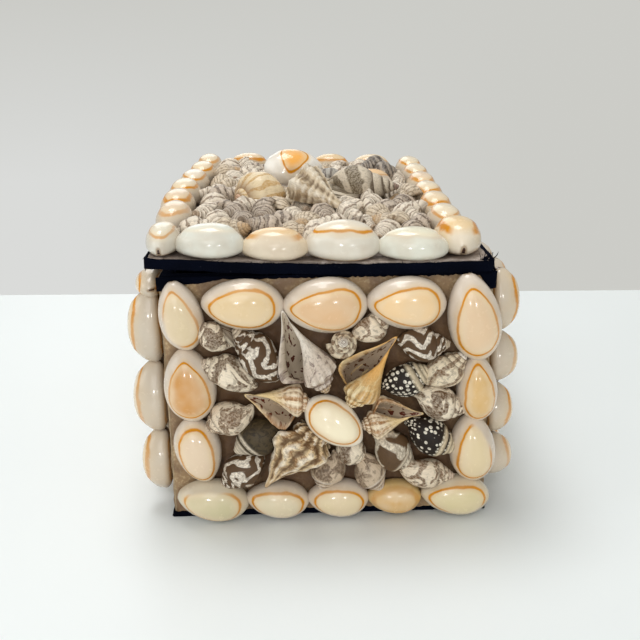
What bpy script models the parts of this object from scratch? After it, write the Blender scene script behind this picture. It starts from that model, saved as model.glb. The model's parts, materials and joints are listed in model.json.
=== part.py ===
"""Shell box: a velvet-lined board box covered with glued sea shells, with a cloth-hinged lid.

Metres, +Z up. The origin is the middle of the underside, the front end faces -Y, and the lid's cloth hinge
runs along the upper edge of the right-hand side, at +X.
"""

from dataclasses import dataclass
from math import acos, atan2, cos, hypot, pi, radians, sin

import bmesh
import bpy
from mathutils import Matrix, Vector

# Case
CASE_WIDTH = 0.096
CASE_LENGTH = 0.150
CASE_HEIGHT = 0.0775
WALL = 0.0025
LINING = 0.0008
FELT = 0.0008
GAP = 0.0003

# Lid
LID_THICKNESS = 0.0030
LID_CLOTH = 0.0006
LID_SIDE_OVERHANG = 0.0035
LID_END_OVERHANG = 0.0025
LID_AJAR = radians(1.6)
HINGE_CLOTH = 0.0005
HINGE_STRIP_BELOW_RIM = 0.0008

# Shells
GLUE = 0.0009
GLUE_SINK = 0.0005
COWRIE_LENGTH = 0.0212
COWRIE_WIDTH = 0.0134
COWRIE_HEIGHT = 0.0095
SNAIL_LENGTH = 0.0132
SNAIL_WIDTH = 0.0086
SNAIL_HEIGHT = 0.0074
EDGE_MARGIN = 0.0006
SIDE_TOP_MARGIN = 0.0022
SIDE_BOTTOM_MARGIN = 0.0088
CENTRE_STANDOFF = 0.0056
CENTRE_BOSS_RADIUS = 0.0022

# The sheets on which the front end's and the lid's shells are laid out; they are stretched with their panels.
FRONT_SHEET = (0.096, 0.0775)
LID_SHEET = (0.0987, 0.155)

WHITE_SHELL = (0.87, 0.80, 0.66, 1.0)
TAN_SHELL = (0.52, 0.42, 0.31, 1.0)
GREY_SHELL = (0.36, 0.32, 0.28, 1.0)
NAVY = (0.010, 0.014, 0.045, 1.0)
BOARD = (0.36, 0.29, 0.20, 1.0)


@dataclass(frozen=True)
class Spot:
    """Where a shell lies on a panel: its middle, the direction of its narrow end, and its size."""

    u: float
    v: float
    turn: float
    length: float
    width: float
    height: float
    raised: float = 0.0


def mm_spot(u, v, turn, length, width, height, raised=0.0):
    """Return a Spot from millimetres and degrees."""
    return Spot(u / 1000, v / 1000, radians(turn), length / 1000, width / 1000, height / 1000, raised)


# Front end, in millimetres from the middle of its lower edge: u, v, turn, length, width, height.
FRONT_COWRIES = {
    "front_cowrie_top_left": mm_spot(-42.0, 66.7, 101, 19.6, 11.8, 8.6),
    "front_cowrie_top_1": mm_spot(-24.2, 69.9, 176, 22.4, 14.2, 9.6),
    "front_cowrie_top_2": mm_spot(-0.8, 69.2, 180, 23.4, 15.4, 10.0),
    "front_cowrie_top_3": mm_spot(22.4, 69.4, 177, 21.8, 14.6, 9.6),
    "front_cowrie_top_right": mm_spot(42.0, 64.6, 101, 23.8, 14.4, 9.8),
    "front_cowrie_left_2": mm_spot(-40.6, 45.6, 95, 21.6, 14.4, 9.4),
    "front_cowrie_left_3": mm_spot(-39.2, 24.4, -78, 19.4, 13.2, 9.0),
    "front_cowrie_right_2": mm_spot(43.8, 42.6, 94, 18.8, 12.0, 9.0),
    "front_cowrie_right_3": mm_spot(43.2, 23.2, 96, 18.6, 13.4, 9.4),
    "front_cowrie_low_1": mm_spot(-35.6, 7.6, 172, 20.4, 13.0, 9.2),
    "front_cowrie_low_2": mm_spot(-15.9, 7.1, 175, 18.2, 12.0, 8.6),
    "front_cowrie_low_3": mm_spot(2.6, 7.1, 178, 17.8, 12.0, 8.6),
    "front_cowrie_low_4": mm_spot(19.9, 6.9, 178, 15.8, 11.0, 7.6),
    "front_cowrie_low_5": mm_spot(38.6, 7.3, 174, 20.4, 12.6, 9.0),
}
FRONT_WHELKS = {
    "front_whelk_upper_left": mm_spot(-7.4, 54.2, -64, 23.6, 12.0, 10.0),
    "front_whelk_upper_right": mm_spot(13.0, 48.6, -125, 22.0, 11.6, 10.0),
    "front_whelk_left": mm_spot(-15.2, 42.0, -8, 18.6, 9.6, 9.0),
    "front_whelk_lower_left": mm_spot(-11.2, 22.6, 52, 22.6, 12.6, 10.4),
    "front_whelk_right": mm_spot(18.6, 33.6, -170, 17.0, 9.6, 9.0),
}
FRONT_CENTRE = mm_spot(1.6, 34.2, -38, 19.6, 13.6, 8.4, raised=CENTRE_STANDOFF)
FRONT_SNAILS = (
    mm_spot(-30.6, 57.8, 148, 10.6, 7.4, 7.0),
    mm_spot(-20.8, 54.6, 131, 15.4, 8.8, 8.0),
    mm_spot(-27.2, 48.4, 158, 14.0, 8.6, 7.6),
    mm_spot(-26.0, 37.2, -149, 11.6, 8.4, 7.6),
    mm_spot(-23.6, 28.2, -142, 12.0, 8.8, 7.4),
    mm_spot(-25.6, 18.6, -138, 12.6, 7.2, 7.0),
    mm_spot(0.2, 19.0, -104, 10.4, 8.0, 6.6),
    mm_spot(7.2, 23.4, -43, 10.4, 7.0, 6.4),
    mm_spot(11.4, 17.4, -57, 8.8, 7.8, 6.6),
    mm_spot(19.4, 22.6, -38, 13.6, 8.2, 7.4),
    mm_spot(29.2, 26.4, -28, 13.0, 8.4, 7.6),
    mm_spot(26.4, 17.0, -11, 10.8, 7.0, 6.6),
    mm_spot(31.8, 37.8, -16, 10.4, 7.4, 7.0),
    mm_spot(24.2, 44.2, 25, 10.8, 7.6, 7.2),
    mm_spot(33.6, 47.4, 44, 9.6, 7.2, 7.0),
    mm_spot(26.8, 55.6, 0, 11.4, 8.0, 7.4),
    mm_spot(14.4, 60.6, 33, 6.4, 5.2, 5.6),
    mm_spot(4.4, 56.8, 90, 6.4, 6.6, 7.4),
)

# Lid, in millimetres from its middle: u, v, turn, length, width, height.
LID_FRONT_COWRIES = {
    "lid_cowrie_front_1": mm_spot(-30.2, -70.2, 178, 18.4, 13.4, 9.2),
    "lid_cowrie_front_2": mm_spot(-11.6, -70.4, 178, 18.0, 13.2, 8.8),
    "lid_cowrie_front_3": mm_spot(7.7, -69.8, 178, 20.0, 14.2, 10.0),
    "lid_cowrie_front_4": mm_spot(27.6, -70.2, 178, 19.0, 13.4, 9.0),
    "lid_cowrie_corner_left": mm_spot(-44.6, -68.2, -90, 18.4, 9.4, 8.8),
    "lid_cowrie_corner_right": mm_spot(42.8, -63.4, -90, 20.6, 12.0, 9.6),
}
PILE_COWRIES = {
    "pile_white_cowrie": mm_spot(-9.0, 3.0, 172, 24.0, 16.0, 9.6),
    "pile_ring_cowrie": mm_spot(-8.0, 0.6, 10, 20.5, 14.6, 9.4, raised=0.0102),
    "pile_back_right_cowrie": mm_spot(23.0, 21.0, 20, 17.0, 12.4, 10.0),
    "pile_back_left_cowrie": mm_spot(-12.0, 20.5, 165, 19.0, 13.0, 10.0),
}
PILE_MOON_SNAIL = mm_spot(-18.5, -17.5, 190, 19.4, 17.6, 15.6)
PILE_KNOBBED_WHELK = mm_spot(2.8, -20.6, 150, 24.0, 15.6, 14.4)
PILE_CONE = mm_spot(19.0, -4.0, 8, 30.0, 14.4, 14.4)
PILE_TURBAN = mm_spot(7.0, 17.0, 80, 14.0, 12.5, 13.4)

# Outlines along a shell, from its narrow or spire end to its other end: share of length, share of reach.
SNAIL_OUTLINE = ((0.0, 0.0), (0.3, 0.7), (0.76, 1.0), (1.0, 0.0))
WHELK_OUTLINE = (
    (0.0, 0.0), (0.11, 0.36), (0.24, 0.64), (0.31, 1.0), (0.48, 0.94), (0.68, 0.42), (0.86, 0.18), (1.0, 0.0)
)
CONE_OUTLINE = ((0.0, 0.0), (0.12, 0.26), (0.38, 0.58), (0.66, 0.88), (0.84, 1.0), (0.95, 0.74), (1.0, 0.0))
GLOBE_OUTLINE = ((0.0, 0.0), (0.05, 0.34), (0.2, 0.74), (0.42, 0.99), (0.68, 0.98), (0.9, 0.66), (1.0, 0.0))

# Cowrie rings from the back to the flat base: share of reach from the middle, share of height.
COWRIE_RINGS = ((0.0, 1.0), (0.70, 0.82), (1.0, 0.34), (0.96, 0.0), (0.0, 0.0))
FUSED_COWRIE_RINGS = ((0.0, 1.0), (0.76, 0.76), (1.0, 0.0), (0.0, 0.0))
COWRIE_TAPER = 0.12
SIDE_OF_SHELL = 0.35
FLAT = 0.01


@dataclass(frozen=True)
class Panel:
    """A flat face that carries shells: u runs right and v runs up, seen from outside, and w stands out."""

    origin: Vector
    u: Vector
    v: Vector
    w: Vector
    width: float
    height: float

    def matrix(self):
        """Return the matrix from panel coordinates to the object's."""
        axes = Matrix((self.u, self.v, self.w)).transposed().to_4x4()
        return Matrix.Translation(self.origin) @ axes


def shaped_ball(around, rings, shape):
    """Return a bmesh ball whose vertices are moved to shape(turn, row), with a row of values for each ring."""
    mesh = bmesh.new()
    along = len(rings) - 1
    bmesh.ops.create_uvsphere(mesh, u_segments=around, v_segments=along, radius=1.0)
    for vertex in mesh.verts:
        ring = round(acos(max(-1.0, min(1.0, vertex.co.z))) / pi * along)
        vertex.co = shape(atan2(vertex.co.y, vertex.co.x), rings[ring])
    return mesh


def cowrie(spot, around, rings):
    """Return an egg-shaped dome on a flat base, its narrow end towards +x."""

    def shape(turn, row):
        reach, height = row
        across = sin(turn) * (1 - COWRIE_TAPER * cos(turn))
        return Vector((reach * spot.length / 2 * cos(turn), reach * spot.width / 2 * across, height * spot.height))

    return shaped_ball(around, rings, shape)


def spiral_shell(spot, around, outline, lip=0.0):
    """Return a spired shell lying on its flattened side, its spire towards +x and its lip towards +y."""

    def shape(turn, row):
        share, reach = row
        up = sin(turn)
        across = cos(turn)
        if up < -FLAT:
            across = (across > FLAT) - (across < -FLAT)
        if across > 0 and 0.3 < share < 0.8:
            across *= 1 + lip
        height = SIDE_OF_SHELL + (1 - SIDE_OF_SHELL) * up if up >= -FLAT else 0.0
        return Vector(((0.5 - share) * spot.length, reach * spot.width / 2 * across, spot.height * height * reach))

    return shaped_ball(around, outline, shape)


def placed(mesh, spot, panel, standoff, stretch=(1.0, 1.0)):
    """Move a shell from its own axes to its spot on a panel, standing off the panel by a distance."""
    sheet = Matrix.Diagonal((stretch[0], stretch[1], 1.0, 1.0))
    place = Matrix.Translation((spot.u, spot.v, standoff + spot.raised)) @ Matrix.Rotation(spot.turn, 4, "Z")
    mesh.transform(panel.matrix() @ sheet @ place)
    return mesh


def slab(panel, low, high, bottom, top):
    """Return a box on a panel between two corners and two distances from it."""
    mesh = bmesh.new()
    bmesh.ops.create_cube(mesh, size=1.0)
    size = Vector((high[0] - low[0], high[1] - low[1], top - bottom))
    middle = Vector(((low[0] + high[0]) / 2, (low[1] + high[1]) / 2, (bottom + top) / 2))
    mesh.transform(panel.matrix() @ Matrix.Translation(middle) @ Matrix.Diagonal((*size, 1.0)))
    return mesh


def nested_rectangles(levels):
    """Return a closed solid through a run of rectangles, each (half x, half y, z), capped at both ends."""
    mesh = bmesh.new()
    rings = []
    for half_x, half_y, z in levels:
        corners = ((-half_x, -half_y), (half_x, -half_y), (half_x, half_y), (-half_x, half_y))
        rings.append([mesh.verts.new((x, y, z)) for x, y in corners])
    mesh.faces.new(reversed(rings[0]))
    for lower, upper in zip(rings, rings[1:]):
        for i in range(4):
            j = (i + 1) % 4
            mesh.faces.new((lower[i], lower[j], upper[j], upper[i]))
    mesh.faces.new(rings[-1])
    bmesh.ops.recalc_face_normals(mesh, faces=mesh.faces)
    return mesh


def material(name, colour, roughness):
    """Return a Principled material, made once."""
    found = bpy.data.materials.get(name)
    if found:
        return found
    made = bpy.data.materials.new(name)
    made.use_nodes = True
    shader = made.node_tree.nodes["Principled BSDF"]
    shader.inputs["Base Color"].default_value = colour
    shader.inputs["Roughness"].default_value = roughness
    shader.inputs["Metallic"].default_value = 0.0
    return made


def node(name, mesh, finish, parent=None, smooth=False):
    """Make an object of a bmesh, with its material, under a parent."""
    data = bpy.data.meshes.new(name)
    mesh.to_mesh(data)
    mesh.free()
    if smooth:
        data.shade_smooth()
    data.materials.append(finish)
    made = bpy.data.objects.new(name, data)
    bpy.context.scene.collection.objects.link(made)
    made.parent = parent
    return made


def gathered(meshes):
    """Return one bmesh that holds several closed shells."""
    whole = bmesh.new()
    for mesh in meshes:
        data = bpy.data.meshes.new("gathering")
        mesh.to_mesh(data)
        mesh.free()
        whole.from_mesh(data)
        bpy.data.meshes.remove(data)
    return whole


def fused(name, shells, bed, finish, parent=None):
    """Make one solid of several shells and the bed of glue that they are pressed into."""
    made = node(name, gathered(shells), finish, parent)
    glue = node(name + "_bed", bed, finish, parent)
    glue.hide_render = True
    glue.display_type = "WIRE"
    union = made.modifiers.new("glued", "BOOLEAN")
    union.operation = "UNION"
    union.solver = "EXACT"
    union.use_self = True
    union.object = glue
    return made


def glued(mesh, spot, panel, stretch=(1.0, 1.0)):
    """Place a shell with its base sunk into the glue bed."""
    return placed(mesh, spot, panel, GAP + GLUE_SINK, stretch)


def row(count, low, high, line, turn, width=COWRIE_WIDTH, height=COWRIE_HEIGHT):
    """Return spots for cowries end to end between two limits, at one distance from the other axis."""
    pitch = (high - low) / count
    spots = []
    for i in range(count):
        along = low + (i + 0.5) * pitch
        where = (along, line) if abs(cos(turn)) > 0.5 else (line, along)
        spots.append(Spot(*where, turn, pitch - GAP, width, height))
    return spots


def field(low, high, spin, spread, avoid=()):
    """Return spots for small snails in staggered rows between two corners, turning as they go."""
    columns = max(2, round((high[0] - low[0]) / (SNAIL_WIDTH * spread)))
    rows = max(2, round((high[1] - low[1]) / SNAIL_LENGTH))
    pitch_u = (high[0] - low[0]) / columns
    pitch_v = (high[1] - low[1]) / rows
    reach = SNAIL_WIDTH / 2 + GAP
    spots = []
    for j in range(rows):
        for i in range(columns):
            stagger = 0.25 if j % 2 else -0.25
            u = low[0] + (i + 0.5 + stagger * (0 < i < columns - 1)) * pitch_u
            v = low[1] + (j + 0.5) * pitch_v
            turn = pi / 2 + spin * sin(1.7 * i + 2.3 * j)
            ends = [(u + k * cos(turn), v + k * sin(turn)) for k in (-SNAIL_LENGTH / 3, 0.0, SNAIL_LENGTH / 3)]
            if any(hypot(x - a, y - b) < radius + reach for a, b, radius in avoid for x, y in ends):
                continue
            spots.append(Spot(u, v, turn, SNAIL_LENGTH, SNAIL_WIDTH, SNAIL_HEIGHT))
    return spots


def build_case():
    """Make the board case, its velvet lining turned over the rim, and the felt under it."""
    half_x = CASE_WIDTH / 2
    half_y = CASE_LENGTH / 2
    floor = FELT + GAP
    rim = CASE_HEIGHT - LINING - GAP
    board = material("case_board", BOARD, 0.9)
    velvet = material("navy_velvet", NAVY, 1.0)
    walls = [
        (half_x, half_y, floor),
        (half_x, half_y, rim),
        (half_x - WALL, half_y - WALL, rim),
        (half_x - WALL, half_y - WALL, floor + WALL),
    ]
    node("box_case", nested_rectangles(walls), board)
    outside = WALL + GAP
    inside = outside + LINING
    cloth = [
        (half_x - outside, half_y - outside, floor + WALL + GAP),
        (half_x - outside, half_y - outside, rim + GAP),
        (half_x, half_y, rim + GAP),
        (half_x, half_y, CASE_HEIGHT),
        (half_x - inside, half_y - inside, CASE_HEIGHT),
        (half_x - inside, half_y - inside, floor + WALL + GAP + LINING),
    ]
    node("case_lining", nested_rectangles(cloth), velvet)
    node("base_felt", nested_rectangles([(half_x, half_y, 0.0), (half_x, half_y, FELT)]), velvet)


def case_panels():
    """Return the four outer walls as panels."""
    x = Vector((1.0, 0.0, 0.0))
    y = Vector((0.0, 1.0, 0.0))
    z = Vector((0.0, 0.0, 1.0))
    end = CASE_LENGTH / 2
    side = CASE_WIDTH / 2
    return {
        "front": Panel(-y * end, x, z, -y, CASE_WIDTH, CASE_HEIGHT),
        "right": Panel(x * side, y, z, x, CASE_LENGTH, CASE_HEIGHT),
        "back": Panel(y * end, -x, z, y, CASE_WIDTH, CASE_HEIGHT),
        "left": Panel(-x * side, -y, z, -x, CASE_LENGTH, CASE_HEIGHT),
    }


def build_front(panel):
    """Make the front end's cowries, whelk rosette and small shells."""
    stretch = (panel.width / FRONT_SHEET[0], panel.height / FRONT_SHEET[1])
    enamel = material("cowrie_shell", WHITE_SHELL, 0.2)
    tan = material("whelk_shell", TAN_SHELL, 0.5)
    for name, spot in FRONT_COWRIES.items():
        node(name, placed(cowrie(spot, 10, COWRIE_RINGS), spot, panel, GAP, stretch), enamel, smooth=True)
    for name, spot in FRONT_WHELKS.items():
        shell = spiral_shell(spot, 8, WHELK_OUTLINE, lip=0.15)
        node(name, placed(shell, spot, panel, GLUE + 2 * GAP, stretch), tan)
    centre = cowrie(FRONT_CENTRE, 10, COWRIE_RINGS)
    node("front_cowrie_centre", placed(centre, FRONT_CENTRE, panel, GLUE + GAP, stretch), enamel, smooth=True)
    shells = [glued(spiral_shell(s, 6, SNAIL_OUTLINE), s, panel, stretch) for s in FRONT_SNAILS]
    shells.append(glued(centre_boss(), FRONT_CENTRE, panel, stretch))
    low = (-0.0310 * stretch[0], 0.0150 * stretch[1])
    high = (0.0350 * stretch[0], 0.0606 * stretch[1])
    bed = slab(panel, low, high, GAP, GAP + GLUE)
    fused("front_shell_field", shells, bed, material("small_shells", GREY_SHELL, 0.6))


def centre_boss():
    """Return the dab of glue that carries the middle cowrie over the whelks' ends."""
    mesh = bmesh.new()
    top = GLUE - GLUE_SINK
    bmesh.ops.create_cone(
        mesh, cap_ends=True, segments=8, radius1=CENTRE_BOSS_RADIUS, radius2=CENTRE_BOSS_RADIUS * 0.8, depth=1.0
    )
    bottom = -CENTRE_STANDOFF
    size = Matrix.Diagonal((1.0, 1.0, top - GAP - bottom, 1.0))
    mesh.transform(Matrix.Translation((0.0, 0.0, (top - GAP + bottom) / 2)) @ size)
    return mesh


def build_wall(name, panel, column_count, column_low, column_high, across_top):
    """Make a hidden wall: columns and rows of cowries round a field of small snails."""
    half = panel.width / 2
    column = half - EDGE_MARGIN - COWRIE_WIDTH / 2
    inner = half - EDGE_MARGIN - COWRIE_WIDTH - GAP
    top_line = panel.height - SIDE_TOP_MARGIN - COWRIE_WIDTH / 2
    low_line = column_low + COWRIE_WIDTH / 2
    top_reach = half - EDGE_MARGIN if across_top else inner
    row_count = max(1, round(2 * inner / COWRIE_LENGTH))
    top_count = max(1, round(2 * top_reach / COWRIE_LENGTH))
    spots = row(column_count, column_low, column_high, -column, pi / 2)
    spots += row(column_count, column_low, column_high, column, pi / 2)
    spots += row(top_count, -top_reach, top_reach, top_line, pi)
    spots += row(row_count, -inner, inner, low_line, pi)
    shells = [glued(cowrie(s, 7, FUSED_COWRIE_RINGS), s, panel) for s in spots]
    enamel = material("cowrie_shell", WHITE_SHELL, 0.2)
    low = (-half + 2 * EDGE_MARGIN, column_low + EDGE_MARGIN)
    high = (half - 2 * EDGE_MARGIN, panel.height - SIDE_TOP_MARGIN - EDGE_MARGIN)
    frame = slab(panel, low, high, GAP, GAP + GLUE)
    field_low = (-inner + COWRIE_WIDTH * 0.04, low_line + COWRIE_WIDTH / 2 + GAP)
    field_high = (inner - COWRIE_WIDTH * 0.04, top_line - COWRIE_WIDTH / 2 - GAP)
    cut = slab(panel, field_low, field_high, -GLUE, GLUE * 3)
    ring = fused(name + "_cowrie_border", shells, frame, enamel)
    window(ring, cut, name)
    low = (field_low[0] + GAP, field_low[1] + GAP)
    high = (field_high[0] - GAP, field_high[1] - GAP)
    inset = hypot(SNAIL_LENGTH, SNAIL_WIDTH) / 2 - SNAIL_WIDTH / 2
    spots = field((low[0] + inset * 0.2, low[1] + inset), (high[0] - inset * 0.2, high[1] - inset), 0.5, 1.45)
    snails = [glued(spiral_shell(s, 6, SNAIL_OUTLINE), s, panel) for s in spots]
    bed = slab(panel, low, high, GAP, GAP + GLUE)
    fused(name + "_shell_field", snails, bed, material("small_shells", GREY_SHELL, 0.6))


def window(made, mesh, name):
    """Cut a window through the glue in the middle of a border, for the field that fills it."""
    cutter = node(name + "_window", mesh, material("cowrie_shell", WHITE_SHELL, 0.2))
    cutter.hide_render = True
    cutter.display_type = "WIRE"
    cut = made.modifiers.new("window", "BOOLEAN")
    cut.operation = "DIFFERENCE"
    cut.solver = "EXACT"
    cut.object = cutter


def lid_panel():
    """Return the lid's upper side as a panel, in the hinge's frame."""
    left = -(CASE_WIDTH + LID_SIDE_OVERHANG)
    right = -(HINGE_CLOTH + GAP)
    length = CASE_LENGTH + 2 * LID_END_OVERHANG
    top = GAP / 2 + LID_THICKNESS
    origin = Vector(((left + right) / 2, -length / 2, top))
    axes = (Vector((1.0, 0.0, 0.0)), Vector((0.0, 1.0, 0.0)), Vector((0.0, 0.0, 1.0)))
    return Panel(origin, *axes, right - left, length)


def build_lid(panel, hinge):
    """Make the lid board and the velvet tray that it lies in."""
    half_x = panel.width / 2
    half_y = panel.height / 2
    top = 0.0
    bottom = -LID_THICKNESS
    inner = LID_CLOTH + GAP
    move = Matrix.Translation(panel.origin + Vector((0.0, half_y, 0.0)))
    tray = nested_rectangles([
        (half_x, half_y, bottom),
        (half_x, half_y, top),
        (half_x - LID_CLOTH, half_y - LID_CLOTH, top),
        (half_x - LID_CLOTH, half_y - LID_CLOTH, bottom + LID_CLOTH),
    ])
    tray.transform(move)
    node("lid_lining", tray, material("navy_velvet", NAVY, 1.0), hinge)
    board = nested_rectangles([
        (half_x - inner, half_y - inner, bottom + inner),
        (half_x - inner, half_y - inner, top),
    ])
    board.transform(move)
    node("lid_board", board, material("case_board", BOARD, 0.9), hinge)


def build_hinge_cloth(hinge):
    """Make the two glued halves of the velvet hinge, one on the case and one on the lid's edge."""
    velvet = material("navy_velvet", NAVY, 1.0)
    half_y = CASE_LENGTH / 2
    low = CASE_HEIGHT - SIDE_TOP_MARGIN + GAP
    high = CASE_HEIGHT - HINGE_STRIP_BELOW_RIM
    strip = nested_rectangles([(HINGE_CLOTH / 2, half_y, low), (HINGE_CLOTH / 2, half_y, high)])
    strip.transform(Matrix.Translation((CASE_WIDTH / 2 + GAP + HINGE_CLOTH / 2, 0.0, 0.0)))
    node("hinge_cloth_case", strip, velvet)
    edge = nested_rectangles([(HINGE_CLOTH / 2, half_y, 0.0), (HINGE_CLOTH / 2, half_y, LID_THICKNESS)])
    edge.transform(Matrix.Translation((-HINGE_CLOTH / 2, 0.0, GAP / 2)))
    node("hinge_cloth_lid", edge, velvet, hinge)


def build_lid_border(panel, hinge):
    """Make the lid's edge cowries: six alone along the front, and the other three edges as glued rows."""
    enamel = material("cowrie_shell", WHITE_SHELL, 0.2)
    half = panel.width / 2
    line = half - EDGE_MARGIN - COWRIE_WIDTH / 2
    between = line - COWRIE_WIDTH / 2 - GAP
    stretch = lid_stretch(panel)
    for name, spot in LID_FRONT_COWRIES.items():
        spot = moved(spot, 0.0, LID_SHEET[1] / 2)
        shell = placed(cowrie(spot, 10, COWRIE_RINGS), spot, panel, GAP, stretch)
        node(name, shell, enamel, hinge, smooth=True)
    corner = LID_FRONT_COWRIES["lid_cowrie_corner_right"]
    start = (LID_SHEET[1] / 2 + corner.v + corner.length / 2) * stretch[1] + GAP
    end = panel.height - EDGE_MARGIN
    count = max(1, round((end - start) / COWRIE_LENGTH))
    for name, side in (("lid_cowries_left", -1), ("lid_cowries_right", 1)):
        spots = row(count, start, end, side * line, pi / 2)
        shells = [glued(cowrie(s, 8, FUSED_COWRIE_RINGS), s, panel) for s in spots]
        reach = COWRIE_WIDTH * 0.36
        bed = slab(panel, (side * line - reach, start + GLUE), (side * line + reach, end - GLUE), GAP, GAP + GLUE)
        fused(name, shells, bed, enamel, hinge)
    back = panel.height - EDGE_MARGIN - COWRIE_WIDTH / 2
    spots = row(4, -between, between, back, pi)
    shells = [glued(cowrie(s, 8, FUSED_COWRIE_RINGS), s, panel) for s in spots]
    reach = COWRIE_WIDTH * 0.36
    bed = slab(panel, (-between + GLUE, back - reach), (between - GLUE, back + reach), GAP, GAP + GLUE)
    fused("lid_cowries_back", shells, bed, enamel, hinge)


def moved(spot, u, v):
    """Return a spot counted from another point."""
    return Spot(spot.u + u, spot.v + v, spot.turn, spot.length, spot.width, spot.height, spot.raised)


def lid_stretch(panel):
    """Return how far the lid is stretched from the sheet that its shells are laid out on."""
    return (panel.width / LID_SHEET[0], panel.height / LID_SHEET[1])


def build_pile(panel, hinge):
    """Make the big shells in the middle of the lid."""
    enamel = material("cowrie_shell", WHITE_SHELL, 0.2)
    tan = material("whelk_shell", TAN_SHELL, 0.5)
    grey = material("small_shells", GREY_SHELL, 0.6)
    stretch = lid_stretch(panel)
    lift = GLUE + 2 * GAP
    for name, spot in PILE_COWRIES.items():
        spot = moved(spot, 0.0, LID_SHEET[1] / 2)
        shell = placed(cowrie(spot, 10, COWRIE_RINGS), spot, panel, lift, stretch)
        node(name, shell, enamel, hinge, smooth=True)
    others = (
        ("pile_moon_snail", PILE_MOON_SNAIL, GLOBE_OUTLINE, tan),
        ("pile_knobbed_whelk", PILE_KNOBBED_WHELK, WHELK_OUTLINE, grey),
        ("pile_banded_cone", PILE_CONE, CONE_OUTLINE, grey),
        ("pile_grey_turban", PILE_TURBAN, GLOBE_OUTLINE, grey),
    )
    for name, spot, outline, finish in others:
        spot = moved(spot, 0.0, LID_SHEET[1] / 2)
        node(name, placed(spiral_shell(spot, 8, outline), spot, panel, lift, stretch), finish, hinge)


def build_lid_field(panel, hinge):
    """Make the small snails that fill the lid round the pile, with the bed of glue under them all."""
    inner_u = panel.width / 2 - EDGE_MARGIN - COWRIE_WIDTH - 2 * GAP
    inner_v = EDGE_MARGIN + COWRIE_WIDTH + 2 * GAP
    low = (-inner_u, inner_v)
    high = (inner_u, panel.height - inner_v)
    pile = [*PILE_COWRIES.values(), PILE_MOON_SNAIL, PILE_KNOBBED_WHELK, PILE_CONE, PILE_TURBAN]
    stretch = lid_stretch(panel)
    avoid = []
    for spot in pile:
        spot = moved(spot, 0.0, LID_SHEET[1] / 2)
        along = Vector((cos(spot.turn), sin(spot.turn))) * (spot.length - spot.width) / 2
        for step in (-1, 0, 1):
            middle = ((spot.u + step * along.x) * stretch[0], (spot.v + step * along.y) * stretch[1])
            avoid.append((*middle, spot.width / 2 * max(stretch)))
    inset = hypot(SNAIL_LENGTH, SNAIL_WIDTH) / 2 - SNAIL_WIDTH / 2
    low_spot = (low[0] + inset * 0.3, low[1] + inset * 0.5)
    high_spot = (high[0] - inset * 0.3, high[1] - inset * 0.5)
    spots = field(low_spot, high_spot, 0.5, 1.2, avoid)
    snails = [glued(spiral_shell(s, 6, SNAIL_OUTLINE), s, panel) for s in spots]
    bed = slab(panel, low, high, GAP, GAP + GLUE)
    fused("lid_shell_field", snails, bed, material("small_shells", GREY_SHELL, 0.6), hinge)


def clear_scene():
    """Remove the objects that the scene starts with."""
    for item in list(bpy.data.objects):
        bpy.data.objects.remove(item, do_unlink=True)


def main():
    """Build the whole box."""
    clear_scene()
    build_case()
    panels = case_panels()
    build_front(panels["front"])
    top = CASE_HEIGHT - SIDE_TOP_MARGIN
    low = SIDE_BOTTOM_MARGIN
    build_wall("left", panels["left"], 3, low, top - COWRIE_WIDTH - GAP, True)
    build_wall("right", panels["right"], 4, low, top, False)
    build_wall("back", panels["back"], 4, EDGE_MARGIN * 2, top, False)
    hinge = bpy.data.objects.new("lid_hinge", None)
    hinge.location = (CASE_WIDTH / 2, 0.0, CASE_HEIGHT + GAP / 2)
    hinge.rotation_euler = (0.0, LID_AJAR, 0.0)
    bpy.context.scene.collection.objects.link(hinge)
    panel = lid_panel()
    build_lid(panel, hinge)
    build_hinge_cloth(hinge)
    build_lid_border(panel, hinge)
    build_pile(panel, hinge)
    build_lid_field(panel, hinge)
    bpy.context.view_layer.update()


main()
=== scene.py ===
"""Shell box: the looks of a velvet-lined board box covered with glued sea shells.

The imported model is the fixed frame, and each piece made here rides on its bodies. The box stands on z = 0
with its rosette end towards -Y and its cloth hinge along the upper edge at +X. Blender works in metres, and
the tables of shells are in millimetres and degrees, counted on the panel that carries them.
"""

import json
import logging
from collections.abc import Callable
from dataclasses import dataclass, field, replace
from enum import Enum
from math import atan2, cos, exp, hypot, pi, radians, sin
from random import Random

import bmesh
import bpy
from mathutils import Matrix, Vector, noise


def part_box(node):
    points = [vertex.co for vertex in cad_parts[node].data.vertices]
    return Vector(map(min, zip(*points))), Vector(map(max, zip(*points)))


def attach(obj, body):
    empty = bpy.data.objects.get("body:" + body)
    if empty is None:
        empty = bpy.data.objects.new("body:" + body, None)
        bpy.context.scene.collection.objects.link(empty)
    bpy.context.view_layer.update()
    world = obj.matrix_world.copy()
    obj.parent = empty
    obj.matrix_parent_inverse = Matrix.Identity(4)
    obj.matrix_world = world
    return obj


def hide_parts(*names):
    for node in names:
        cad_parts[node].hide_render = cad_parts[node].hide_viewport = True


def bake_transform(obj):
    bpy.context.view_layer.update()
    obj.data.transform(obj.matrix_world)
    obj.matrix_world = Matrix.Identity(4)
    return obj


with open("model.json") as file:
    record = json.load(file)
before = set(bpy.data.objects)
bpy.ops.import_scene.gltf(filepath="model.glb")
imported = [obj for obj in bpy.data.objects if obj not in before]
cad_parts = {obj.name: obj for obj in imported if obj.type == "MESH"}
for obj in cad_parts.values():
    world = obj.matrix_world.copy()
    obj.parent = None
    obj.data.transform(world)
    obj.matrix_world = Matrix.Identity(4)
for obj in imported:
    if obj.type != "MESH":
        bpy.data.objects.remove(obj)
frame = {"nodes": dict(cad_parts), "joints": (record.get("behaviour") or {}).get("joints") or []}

LOG = logging.getLogger("shell_box")
MM = 0.001
ATTRIBUTE = "ShaderNodeAttribute"
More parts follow.
